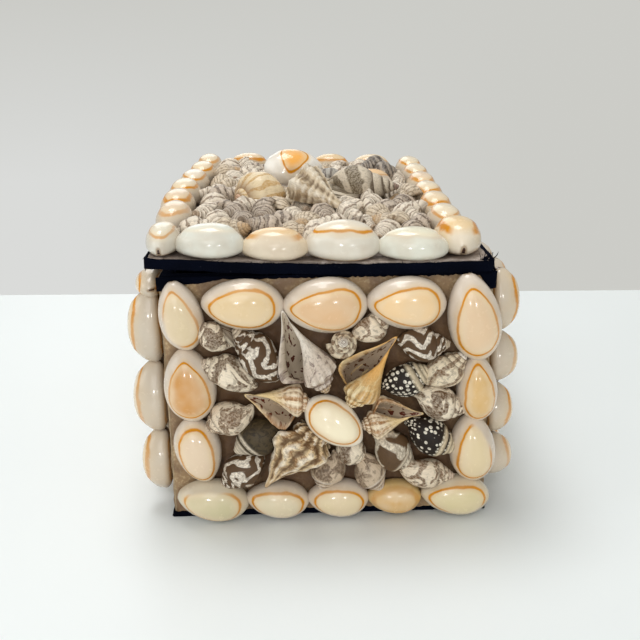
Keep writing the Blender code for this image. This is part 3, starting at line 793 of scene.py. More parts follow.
@dataclass(frozen=True)
class Coil:
    """A coiled shell, grown as the animal grows it: its outline is turned and enlarged step by step.

    outline is the closed outline of the tube at the mouth, from the suture out over the shoulder to the
    front end and back along the axis. Each point is a share of the length from the tip of the spire and a
    reach from the axis. The first outer points lie on the outside. growth is how many times larger each turn
    is than the last, and steps and around are the steps in a turn and the points round the tube.
    """

    name: str
    outline: tuple[tuple[float, float], ...]
    outer: int
    growth: float
    turns: float
    steps: int
    around: int
    ribs: float = 0.0
    rib_depth: float = 0.0
    rib_reach: float = 1.0
    cords: float = 0.0
    cord_depth: float = 0.0
    knob_at: float = 0.2
    knob_depth: float = 0.0
    mouth: bool = False
    flare: float = 0.0
    lip: float = 0.9
    seam_depth: float = 0.03
    waver: float = 0.0
    uneven: float = 0.05

    def point(self, share: float) -> tuple[float, float]:
        """Return a point of the outline, smoothed between its given points."""
        count = len(self.outline)
        whole = int(share * count)
        t = share * count - whole
        a, b, c, d = [self.outline[(whole + k) % count] for k in (-1, 0, 1, 2)]
        return tuple(
            0.5 * (
                2 * q + (r - p) * t + (2 * p - 5 * q + 4 * r - s) * t * t + (3 * q - p - 3 * r + s) * t ** 3
            )
            for p, q, r, s in zip(a, b, c, d)
        )

    def relief(self, turn: float, share: float) -> tuple[float, float]:
        """Return how far the skin stands out at a point, and how high that is from -1 to 1."""
        edge = self.outer / len(self.outline)
        window = smooth(0.0, 0.06, share) * (1 - smooth(edge * 0.75, edge, share))
        bend = self.waver * sin(2 * pi * 3 * share / edge + 9 * turn)
        rib = cos(2 * pi * self.ribs * turn + bend) if self.ribs else 0.0
        rib *= 1 - smooth(0.5 * self.rib_reach, self.rib_reach, share / edge)
        cord = cos(2 * pi * self.cords * share / edge) if self.cords else 0.0
        knob = exp(-(((share - self.knob_at) / 0.05) ** 2)) * max(0.0, rib)
        out = self.rib_depth * rib + self.cord_depth * cord + self.knob_depth * knob
        depth = out / 0.055
        out += self.flare * smooth(self.turns - 0.16, self.turns, turn) * sin(pi * min(1.0, share / edge))
        seam = exp(-((share / 0.085) ** 2)) + exp(-(((1 - share) / 0.035) ** 2))
        out = out * window - self.seam_depth * seam
        # the height also sinks at the sutures, so that the shell finishes paint shade there
        return out, max(-1.0, min(1.0, depth * window - 0.9 * seam))

    def template(self) -> bpy.types.Mesh:
        """Return the shell as a mesh one long and one wide, its spire at +x. It is made only once.

        Returns:
            The mesh, with skin (round and along the skin, in shares of the length) and fold (age, relief and
            inside) on its vertices.
        """
        found = bpy.data.meshes.get(self.name)
        if found:
            return found
        mesh = bmesh.new()
        at = mesh.verts.layers.float_vector.new("at")
        skin = mesh.verts.layers.float_vector.new("skin")
        fold = mesh.verts.layers.float_vector.new("fold")
        front = mesh.verts.layers.float.new("front")
        count = round(self.turns * self.steps)
        grow = Matrix.Rotation(-2 * pi / self.steps, 4, "X")
        grow = grow @ Matrix.Scale(self.growth ** (1 / self.steps), 4)
        start = Matrix.Rotation(2 * pi * count / self.steps, 4, "X")
        start = start @ Matrix.Scale(self.growth ** (-count / self.steps), 4)
        for vertex in bmesh.ops.create_circle(mesh, segments=self.around, radius=1.0)["verts"]:
            angle = atan2(vertex.co.y, vertex.co.x)
            share = round(angle / (2 * pi) * self.around) % self.around / self.around
            along, reach = self.point(share)
            vertex.co = start @ Vector((-along, reach, 0.0))
            vertex[at] = Vector((0.0, share, 0.0))
        edges = list(mesh.edges)
        bmesh.ops.edgeloop_fill(mesh, edges=edges)
        for i in range(count):
            edges, verts = self.extruded(mesh, edges)
            bmesh.ops.transform(mesh, matrix=grow, verts=verts)
            for vertex in verts:
                vertex[at].x = (i + 1) / self.steps
        if self.mouth:
            edges = self.lined(mesh, edges, at, grow.inverted())
        bmesh.ops.edgeloop_fill(mesh, edges=edges)
        widest = max(reach for _, reach in self.outline)
        for vertex in mesh.verts:
            turn, share, inner = vertex[at]
            out, height = self.relief(turn, share)
            if inner < 0.5:
                vertex.co.y *= 1 + out
                vertex.co.z *= 1 + out
            vertex[skin] = Vector((turn * 2 * pi * widest, share * 1.6, 0.0))
            vertex[fold] = Vector((turn / self.turns, height, inner))
            vertex[front] = share * len(self.outline) / self.outer
        low = Vector([min(v.co[k] for v in mesh.verts) for k in range(3)])
        high = Vector([max(v.co[k] for v in mesh.verts) for k in range(3)])
        across = max(high.y - low.y, high.z - low.z)
        middle = Matrix.Translation((-(low.x + high.x) / 2, 0.0, 0.0))
        size = Matrix.Diagonal((1 / (high.x - low.x), 1 / across, 1 / across, 1.0))
        mesh.transform(size @ middle)
        bmesh.ops.recalc_face_normals(mesh, faces=mesh.faces)
        mesh.verts.layers.float_vector.remove(at)
        return settled(self.name, mesh)

    @staticmethod
    def extruded(mesh: bmesh.types.BMesh, edges: list) -> tuple[list, list]:
        """Extrude a loop of edges.

        Args:
            mesh: the mesh.
            edges: the loop.

        Returns:
            The new loop's edges and vertices.
        """
        new = bmesh.ops.extrude_edge_only(mesh, edges=edges)["geom"]
        verts = [item for item in new if isinstance(item, bmesh.types.BMVert)]
        fresh = set(verts)
        loop = [e for e in new if isinstance(e, bmesh.types.BMEdge) and set(e.verts) <= fresh]
        return loop, verts

    def lined(self, mesh: bmesh.types.BMesh, edges: list, at: object, back: Matrix) -> list:
        """Turn the lip over and line the tube with its inner wall for part of a turn.

        Args:
            mesh: the shell.
            edges: the loop at the mouth.
            at: the layer that holds each vertex's turn, share and inside.
            back: the matrix one step back along the tube.

        Returns:
            The loop at the end of the lining.
        """
        edges, verts = self.extruded(mesh, edges)
        middle = sum((v.co for v in verts), Vector()) / len(verts)
        shrink = Matrix.Translation(middle) @ Matrix.Scale(self.lip, 4) @ Matrix.Translation(-middle)
        bmesh.ops.transform(mesh, matrix=shrink, verts=verts)
        for _ in range(round(self.steps * 0.4)):
            edges, verts = self.extruded(mesh, edges)
            bmesh.ops.transform(mesh, matrix=back, verts=verts)
            for vertex in verts:
                vertex[at].z = 1.0
                vertex[at].x -= 1 / self.steps
        return edges

    def lay(self, piece: Piece, panel: Panel, spot: Spot, seed: float, finish: int = 0) -> None:
        """Add a shell of this kind to a piece, resting in the glue.

        Args:
            piece: the piece to add to.
            panel: the face that the shell is glued to.
            spot: where it lies, and its size.
            seed: sets its marks apart from its neighbours'.
            finish: which of the piece's finishes it has.
        """
        mesh = piece.mesh
        first_vertex, first_face = len(mesh.verts), len(mesh.faces)
        mesh.from_mesh(self.template())
        mesh.verts.ensure_lookup_table()
        mesh.faces.ensure_lookup_table()
        verts = mesh.verts[first_vertex:]
        skin = mesh.verts.layers.float_vector["skin"]
        for vertex in verts:
            vertex.co.yz *= 1 + self.uneven * noise.noise(vertex.co * 4.5 + Vector((seed, seed, seed)))
        size = Matrix.Diagonal((spot.length * MM, spot.width * MM, spot.width * MM, 1.0))
        turned = spot.lean @ size
        lowest = min((turned @ vertex.co).z for vertex in verts)
        matrix = panel.place(spot) @ Matrix.Translation((0.0, 0.0, -lowest)) @ turned
        for vertex in verts:
            vertex.co = matrix @ vertex.co
            around, along, _ = vertex[skin]
            vertex[skin] = Vector((around * spot.length, along * spot.length, seed))
        for face in mesh.faces[first_face:]:
            face.material_index = finish


DOVE = Coil(
    "dove_shell_form",
    ((0.33, 0.19), (0.375, 0.265), (0.45, 0.315), (0.57, 0.335), (0.70, 0.315), (0.82, 0.265), (0.92, 0.195),
     (0.98, 0.12), (1.0, 0.05), (0.96, 0.0), (0.75, 0.0), (0.55, 0.0), (0.39, 0.04)),
    9, 1.47, 5.0, 24, 28,
)
PERIWINKLE = Coil(
    "periwinkle_form",
    ((0.46, 0.24), (0.49, 0.35), (0.56, 0.42), (0.67, 0.45), (0.79, 0.41), (0.90, 0.31), (0.97, 0.17),
     (0.97, 0.03), (0.85, 0.0), (0.65, 0.0), (0.50, 0.08)),
    7, 1.42, 4.6, 18, 18, seam_depth=0.14, uneven=0.1,
)
SMALL_PERIWINKLE = replace(PERIWINKLE, name="small_periwinkle_form", steps=10, around=10, turns=3.0)
WHELK = Coil(
    "whelk_form",
    ((0.24, 0.165), (0.29, 0.25), (0.35, 0.295), (0.45, 0.285), (0.56, 0.235), (0.67, 0.18), (0.78, 0.125),
     (0.89, 0.075), (1.0, 0.035), (0.99, 0.0), (0.75, 0.0), (0.50, 0.0), (0.30, 0.04)),
    9, 1.72, 4.2, 48, 44, ribs=11, rib_depth=0.02, rib_reach=0.6, cords=15, cord_depth=0.003, knob_at=0.13,
    knob_depth=0.09, mouth=True, flare=0.36, lip=0.95,
)
HONEY_FORM = replace(
    WHELK, name="honey_whelk_form", ribs=13, rib_depth=0.04, cord_depth=0.005, knob_depth=0.05
)
RIBBED_WHELK = replace(
    WHELK, name="ribbed_whelk_form", ribs=13, rib_depth=0.04, rib_reach=0.8, cords=9, cord_depth=0.015,
    knob_depth=0.03,
)
LYING_WHELK = replace(
    WHELK, name="nodular_whelk_form", mouth=False, flare=0.0, ribs=10, rib_depth=0.085, rib_reach=1.1,
    cords=6, cord_depth=0.03, knob_depth=0.05, waver=0.8, uneven=0.12,
)
KNOBBED_FORM = replace(
    WHELK, name="knobbed_whelk_form", mouth=False, flare=0.0, rib_depth=0.06, rib_reach=1.0, cord_depth=0.04,
    cords=13, knob_depth=0.18, ribs=8, uneven=0.1,
)
MOON_FORM = Coil(
    "moon_snail_form",
    ((0.14, 0.20), (0.20, 0.35), (0.34, 0.47), (0.52, 0.51), (0.70, 0.48), (0.85, 0.38), (0.95, 0.24),
     (1.0, 0.08), (0.97, 0.0), (0.7, 0.0), (0.45, 0.0), (0.22, 0.05)),
    8, 2.1, 3.4, 36, 32,
)
CONCH_FORM = Coil(
    "banded_conch_form",
    ((0.42, 0.18), (0.50, 0.24), (0.62, 0.275), (0.75, 0.26), (0.87, 0.19), (0.96, 0.10), (1.0, 0.03),
     (0.95, 0.0), (0.80, 0.0), (0.62, 0.0), (0.50, 0.04)),
    7, 1.5, 6.0, 36, 28,
)


@dataclass
class FrontEnd:
    """The end of the case that faces the viewer: a border of cowries round a rosette of whelks."""

    panel: Panel
    glue_mm: float = 0.5

    cowries: dict[str, tuple[Spot, CowrieLook]] = field(default_factory=lambda: {
        "top_left": (Spot(-42.0, 66.7, 101, 20.2, 12.6, 9.0), CowrieLook("#DCC8A4", 0.7, 120, 0.35, 1.1, 1)),
        "top_1": (Spot(-24.2, 69.9, 176, 22.9, 14.8, 10.0), CowrieLook("#E4C89A", 1.0, None, 0.22, 1.1, 2)),
        "top_2": (Spot(-0.8, 69.2, 180, 23.5, 16.2, 10.4), CowrieLook("#E0B88C", 1.0, None, 0.36, 1.0, 3)),
        "top_3": (Spot(22.4, 69.4, 177, 22.2, 15.4, 10.0), CowrieLook("#F0CE9E", 1.0, None, 0.32, 1.0, 4)),
        "top_right": (
            Spot(42.0, 64.6, 101, 25.7, 15.3, 10.2), CowrieLook("#E2C4A0", 1.0, None, 0.34, 1.1, 5)
        ),
        "left_2": (Spot(-40.6, 45.6, 95, 22.2, 15.2, 9.8), CowrieLook("#CF9654", 0.9, None, 0.36, 0.9, 6)),
        "left_3": (Spot(-39.2, 24.4, -78, 20.5, 13.8, 9.4), CowrieLook("#E4CCB0", 1.0, None, 0.05, 1.1, 7)),
        "right_2": (Spot(43.8, 42.6, 94, 20.4, 12.1, 9.2), CowrieLook("#D9B274", 1.0, None, 0.30, 1.0, 8)),
        "right_3": (Spot(43.2, 23.2, 96, 21.4, 13.9, 9.6), CowrieLook("#E0CCA4", 1.1, -40, 0.24, 1.1, 9)),
        "low_1": (
            Spot(-35.6, 7.6, 172, 21.1, 13.5, 9.4), CowrieLook("#CEC49E", 0.7, -70, 0.15, 1.0, 10, "#CFC4AE")
        ),
        "low_2": (Spot(-15.9, 7.1, 175, 18.7, 12.0, 8.8), CowrieLook("#DCCFB0", 0.9, 100, 0.15, 1.2, 11)),
        "low_3": (Spot(2.6, 7.1, 178, 18.2, 12.3, 8.8), CowrieLook("#E2D0AA", 0.9, 100, 0.15, 1.0, 12)),
        "low_4": (
            Spot(19.9, 6.9, 178, 16.2, 11.1, 8.0), CowrieLook("#D09E48", 0.35, None, 0.1, 2.6, 13, "#D4B478")
        ),
        "low_5": (
            Spot(38.6, 7.3, 174, 20.6, 13.0, 9.2), CowrieLook("#DACCA0", 1.0, 120, 0.25, 1.1, 14, "#D2C6B0")
        ),
    })
    centre: tuple[Spot, CowrieLook] = (
        Spot(1.4, 35.2, -38, 19.0, 12.9, 8.4, raised=6.2, roll=-12, tilt=-9),
        CowrieLook("#F6EACB", 0.9, None, 0.1, 0.9, 15, "#F4ECDE"),
    )
    whelks: dict[str, tuple[Spot, Coil, ShellSkin]] = field(default_factory=lambda: {
        "upper_left": (Spot(-6.6, 56.3, -64, 28.0, 16.4, roll=165, tilt=-4), WHELK, WHITE_WHELK),
        "upper_right": (Spot(12.7, 49.3, -125, 25.6, 15.4, roll=178, tilt=-4), HONEY_FORM, HONEY_WHELK),
        "left": (Spot(-14.8, 41.5, -10, 20.2, 14.2, roll=165, tilt=-4), RIBBED_WHELK, RIBBED),
        "lower_left": (Spot(-10.4, 23.2, 52, 28.4, 18.4, roll=20, tilt=-4), LYING_WHELK, NODULAR),
        "right": (Spot(18.6, 33.9, -173, 19.2, 14.2, roll=160, tilt=-4), RIBBED_WHELK, RIBBED),
    })
    small: dict[str, tuple[Spot, ShellSkin]] = field(default_factory=lambda: {
        "a": (Spot(-32.2, 60.7, 148, 14.2, 9.8, roll=200), MARBLED),
        "b": (Spot(-20.4, 55.5, 131, 20.4, 11.8, roll=30), ZIGZAG),
        "c": (Spot(-29.0, 49.6, 158, 18.6, 11.2, roll=60), MARBLED),
        "d": (Spot(-29.8, 35.6, 211, 16.8, 11.2, roll=10), FLECKED),
        "e": (Spot(-21.2, 29.6, 218, 18.0, 12.6, roll=0), MOSSY),
        "f": (Spot(-26.6, 18.0, 222, 17.4, 11.0, roll=40), ZIGZAG),
        "g": (Spot(-0.8, 17.0, 256, 14.4, 10.4, roll=0), PINKISH),
        "h": (Spot(6.4, 23.4, 317, 13.4, 9.6, roll=20), MARBLED),
        "i": (Spot(12.0, 15.8, 303, 15.0, 10.2, roll=10), PINKISH),
        "j": (Spot(19.0, 22.8, 322, 17.0, 12.0, roll=0), BROWN),
        "k": (Spot(30.4, 27.4, 332, 19.2, 11.6, roll=10), DOTTED),
        "l": (Spot(28.8, 15.8, 349, 19.0, 10.6, roll=30), FLECKED),
        "m": (Spot(32.8, 38.2, 344, 17.8, 10.8, roll=0), MARBLED),
        "n": (Spot(22.8, 46.2, 25, 16.0, 11.2, roll=20), DOTTED),
        "o": (Spot(34.6, 48.6, 44, 15.4, 10.6, roll=0), STRIPED),
        "p": (Spot(27.4, 56.8, 0, 16.2, 11.0, roll=10), ZIGZAG),
        "q": (Spot(12.6, 62.2, 33, 13.4, 9.2, roll=30), FLECKED),
        "r": (Spot(4.1, 58.0, 90, 12.0, 9.0, roll=0, tilt=-66), STRIPED),
    })

    def build(self) -> None:
        """Make every shell of the front end, and the glue they lie in."""
        form = Cowrie()
        for name, (spot, look) in self.cowries.items():
            piece = Piece(f"cowrie_{name}", "case", "cowrie", [ENAMEL], (f"front_cowrie_{name}",))
            form.lay(piece, self.panel, replace(spot, raised=self.glue_mm), look)
            piece.made()
        spot, look = self.centre
        piece = Piece("cowrie_centre", "case", "cowrie", [ENAMEL], ("front_cowrie_centre",))
        replace(form, ring_length=0.84, ring_width=0.78).lay(piece, self.panel, spot, look)
        piece.made()
        for number, (name, (spot, coil, finish)) in enumerate(self.whelks.items()):
            piece = Piece(f"whelk_{name}", "case", "whelk", [finish], (f"front_whelk_{name}",))
            coil.lay(piece, self.panel, replace(spot, raised=self.glue_mm), number * 7.3)
            piece.made()
        for number, (name, (spot, finish)) in enumerate(self.small.items()):
            piece = Piece(f"dove_shell_{name}", "case", "small_shell", [finish])
            DOVE.lay(piece, self.panel, replace(spot, raised=spot.raised + self.glue_mm - 0.3), number * 5.1)
            piece.made()
        GlueBed("front_glue", self.panel, ("front_shell_field",), thick_mm=self.glue_mm).build()


@dataclass
class GlueBed:
    """The crust of dried glue over a panel, thin at its edges and lumpy in the middle."""

    name: str
    panel: Panel
    stands_for: tuple[str, ...]
    thick_mm: float = 0.5
    lump_mm: float = 0.5
    margin_mm: float = 0.4
    pitch_mm: float = 1.2
    clearance_mm: float = 0.05

    def build(self) -> bpy.types.Object:
        """Make the crust as a closed sheet whose outside is lumpy.

        Returns:
            The object.
        """
        piece = Piece(self.name, self.panel.body, "board", [GLUE], self.stands_for)
        mesh = piece.mesh
        margins = 2 * self.margin_mm * MM
        width, height = self.panel.width - margins, self.panel.height - margins
        bmesh.ops.create_grid(
            mesh, x_segments=round(width / MM / self.pitch_mm), y_segments=round(height / MM / self.pitch_mm),
            size=0.5,
        )
        middle = Matrix.Translation((0.0, self.panel.height / 2, self.clearance_mm * MM))
        mesh.transform(middle @ Matrix.Diagonal((width, height, 1.0, 1.0)))
        deep = mesh.verts.layers.float.new("deep")
        top = bmesh.ops.extrude_face_region(mesh, geom=list(mesh.faces))["geom"]
        for vertex in (item for item in top if isinstance(item, bmesh.types.BMVert)):
            edge = min(width / 2 - abs(vertex.co.x), height / 2 - abs(vertex.co.y - self.panel.height / 2))
            lump = noise.fractal(vertex.co / (5 * MM), 1.0, 2.0, 3)
            lump += 0.4 * noise.noise(vertex.co / (1.5 * MM))
            rise = self.thick_mm * smooth(-1.0, 2.0, edge / MM) + self.lump_mm * max(-0.4, lump)
            vertex.co.z += max(0.08, rise) * MM
            # painted shade mask: the glue darkens away from the panel's edges
            vertex[deep] = smooth(3.0, 14.0, edge / MM)
        mesh.transform(self.panel.matrix())
        bmesh.ops.recalc_face_normals(mesh, faces=mesh.faces)
        return piece.made()


@dataclass
class SideWall:
    """A wall that the viewer doesn't face: columns and rows of cowries round a field of small snails."""

    name: str
    panel: Panel
    columns: int
    column_low: float
    column_high: float
    across_top: bool
    cowrie_length: float = 21.2
    cowrie_width: float = 13.4
    cowrie_height: float = 9.5
    edge: float = 0.6
    top_margin: float = 2.2
    gap: float = 0.3
    seed: int = 1
    leading: tuple[Spot, ...] = ()
    leading_side: int = 1

    def spots(self, count: int, low: float, high: float, line: float, turn: float) -> list[Spot]:
        """Return spots for cowries end to end between two limits, at one distance from the other axis."""
        pitch = (high - low) / count
        made = []
        for i in range(count):
            along = low + (i + 0.5) * pitch
            u, v = (along, line) if abs(cos(radians(turn))) > 0.5 else (line, along)
            made.append(Spot(u, v, turn, pitch - self.gap, self.cowrie_width, self.cowrie_height, 0.4))
        return made

    def build(self) -> None:
        """Make the border, the field and the glue of the wall."""
        half, top = self.panel.width / MM / 2, self.panel.height / MM
        column = half - self.edge - self.cowrie_width / 2
        inner = half - self.edge - self.cowrie_width - self.gap
        top_line = top - self.top_margin - self.cowrie_width / 2
        low_line = self.column_low + self.cowrie_width / 2
        top_reach = half - self.edge if self.across_top else inner
        spots = list(self.leading)
        for side in (-1, 1):
            if not (self.leading and side == self.leading_side):
                spots += self.spots(self.columns, self.column_low, self.column_high, side * column, 90)
        if self.leading and self.across_top:
            top_low, top_high = (-top_reach, inner) if self.leading_side > 0 else (-inner, top_reach)
        else:
            top_low, top_high = -top_reach, top_reach
        number = max(1, round((top_high - top_low) / self.cowrie_length))
        spots += self.spots(number, top_low, top_high, top_line, 180)
        spots += self.spots(max(1, round(2 * inner / self.cowrie_length)), -inner, inner, low_line, 180)
        chance = Random(self.seed)
        border = Piece(
            f"{self.name}_cowries", "case", "cowrie", [ENAMEL], (f"{self.name}_cowrie_border",)
        )
        form = Cowrie(segments=32, rings=18)
        for number, spot in enumerate(spots):
            form.lay(border, self.panel, spot, some_look(chance, number))
        border.made()
        low, high = low_line + self.cowrie_width / 2, top_line - self.cowrie_width / 2
        snails = Piece(f"{self.name}_snails", "case", "small_shell", [SNAIL, SNAIL_GREY, MARBLED])
        for spot in packed((-inner, low), (inner, high), (12.0, 8.2), chance):
            seed, finish = chance.uniform(0, 90), chance.choice((0, 0, 1, 2))
            SMALL_PERIWINKLE.lay(snails, self.panel, spot, seed, finish)
        snails.made()
        GlueBed(f"{self.name}_glue", self.panel, (f"{self.name}_shell_field",), pitch_mm=2.0).build()


def some_look(chance: Random, number: int) -> CowrieLook:
    """Return a cowrie's colours, picked from those that such a box has, with a margin greyer than the front
    end's as painted shade.
    """
    tint = chance.choice(("#E2CBA8", "#E4D5BA", "#E0BE8C", "#E4D9C8", "#E0C8AC"))
    ring = chance.choice((1.0, 0.9, 0.5, 0.7))
    pinch, thick = chance.uniform(0.1, 0.3), chance.uniform(1.0, 1.8)
    # painted shade: the margin is greyer than on the front end
    return CowrieLook(tint, ring, None, pinch, thick, number + 40, "#CDC1B0")


def packed(low: tuple, high: tuple, size: tuple, chance: Random, avoid: tuple = ()) -> list[Spot]:
    """Fill a rectangle with small shells in staggered rows.

    Args:
        low: its lower corner.
        high: its upper corner.
        size: the length and width of a shell.
        chance: the source of the small differences.
        avoid: circles, each a middle and a radius, that are left free.

    Returns:
        The spots.
    """
    length, width = size
    columns = max(1, round((high[0] - low[0]) / (width * 0.98)))
    rows = max(1, round((high[1] - low[1]) / (length * 0.70)))
    pitch_u, pitch_v = (high[0] - low[0]) / columns, (high[1] - low[1]) / rows
    made = []
    for j in range(rows):
        for i in range(columns):
            u = low[0] + (i + 0.5 + (0.2 if j % 2 else -0.2)) * pitch_u + chance.uniform(-0.9, 0.9)
            v = low[1] + (j + 0.5) * pitch_v + chance.uniform(-1.8, 1.8)
            if any(hypot(u - a, v - b) < radius for a, b, radius in avoid):
                continue
            turn = chance.choice((-90, -90, 90, 0, 180)) + chance.uniform(-42, 42)
            made.append(Spot(
                u, v, turn, length * chance.uniform(0.85, 1.1), width * chance.uniform(0.9, 1.1), raised=0.2,
                roll=chance.uniform(-60, 120), tilt=chance.uniform(-22, 6),
            ))
    return made


@dataclass
class CaseCloth:
    """The velvet in the case, turned over its rim, and the felt under it, with the board between them."""

    width_mm: float
    length_mm: float
    height_mm: float
    wall_mm: float = 3.6
    floor_mm: float = 4.7
    cloth_mm: float = 0.7
    corner: int = 26

    def profile(self) -> list[tuple[float, float]]:
        """Return how far in and how high the lining lies, from the rim to the middle of the floor."""
        top, wall = self.height_mm, self.wall_mm
        points = [(0.0, top - 0.8), (-0.05, top - 0.35), (0.25, top - 0.04), (0.8, top)]
        points += [(wall - 0.8, top), (wall - 0.15, top - 0.15), (wall, top - 0.7)]
        drop = top - 0.7 - (self.floor_mm + 0.6)
        points += [(wall, top - 0.7 - drop * i / 28) for i in range(1, 29)]
        points += [(wall + 0.15, self.floor_mm + 0.15), (wall + 0.6, self.floor_mm)]
        reach = self.width_mm / 2 - wall - 2.0
        return points + [(wall + 0.6 + reach * i / 16, self.floor_mm) for i in range(1, 17)]

    def build(self) -> None:
        """Dress the board, line the case and put the felt under it."""
        data = frame["nodes"]["box_case"].data
        data.materials.clear()
        data.materials.append(BOARD.material())
        self.build_lining()
        self.build_felt()

    def build_lining(self) -> None:
        """Fold the lining over the rim, down the walls and across the floor, with a little slack."""
        piece = Piece("velvet_lining", "case", "velvet", [VELVET], ("case_lining",))
        mesh = piece.mesh
        half = Vector((self.width_mm / 2, self.length_mm / 2))
        verts = bmesh.ops.create_circle(mesh, segments=8 * self.corner, radius=1.0)["verts"]
        edges = list(mesh.edges)
        before = Vector((1.0, 1.0))
        for vertex in verts:
            x, y, _ = vertex.co
            vertex.co = Vector((x, y, 0.0)) / max(abs(x), abs(y))
        level = 0.0
        for number, (inward, height) in enumerate(self.profile()):
            after = half - Vector((inward, inward))
            if number:
                edges, verts = Coil.extruded(mesh, edges)
            size = Matrix.Diagonal((after.x / before.x, after.y / before.y, 1.0, 1.0))
            lift = Matrix.Translation((0.0, 0.0, height - level))
            bmesh.ops.transform(mesh, matrix=lift @ size, verts=verts)
            before, level = after, height
        bmesh.ops.edgeloop_fill(mesh, edges=edges)
        for vertex in mesh.verts:
            slack = 0.16 * noise.noise(vertex.co / 14) + 0.06 * noise.noise(vertex.co / 3)
            inner = 1.0 if vertex.co.z < self.height_mm - 1.5 else 0.4
            vertex.co -= Vector((vertex.co.x / half.x, vertex.co.y / half.y, 0.0)) * (0.12 + slack) * inner
        bmesh.ops.recalc_face_normals(mesh, faces=mesh.faces)
        if max(mesh.faces, key=lambda face: face.calc_area()).normal.z < 0:
            bmesh.ops.reverse_faces(mesh, faces=mesh.faces)
        mesh.transform(Matrix.Scale(MM, 4))
        thicken(piece.made(), self.cloth_mm)

    def build_felt(self) -> None:
        """Make the felt on the underside."""
        piece = Piece("foot_felt", "case", "velvet", [VELVET], ("base_felt",))
        mesh = piece.mesh
        bmesh.ops.create_cube(mesh, size=1.0)
        bmesh.ops.subdivide_edges(mesh, edges=mesh.edges, cuts=39, use_grid_fill=True)
        for vertex in mesh.verts:
            x, y, z = vertex.co
            frayed = 1 + 0.004 * noise.noise(Vector((x, y, z)) * 30) * (max(abs(x), abs(y)) > 0.49)
            wide, long = self.width_mm * frayed, self.length_mm * frayed
            vertex.co = Vector((x * wide, y * long, (z + 0.5) * 0.8)) * MM
        piece.made()


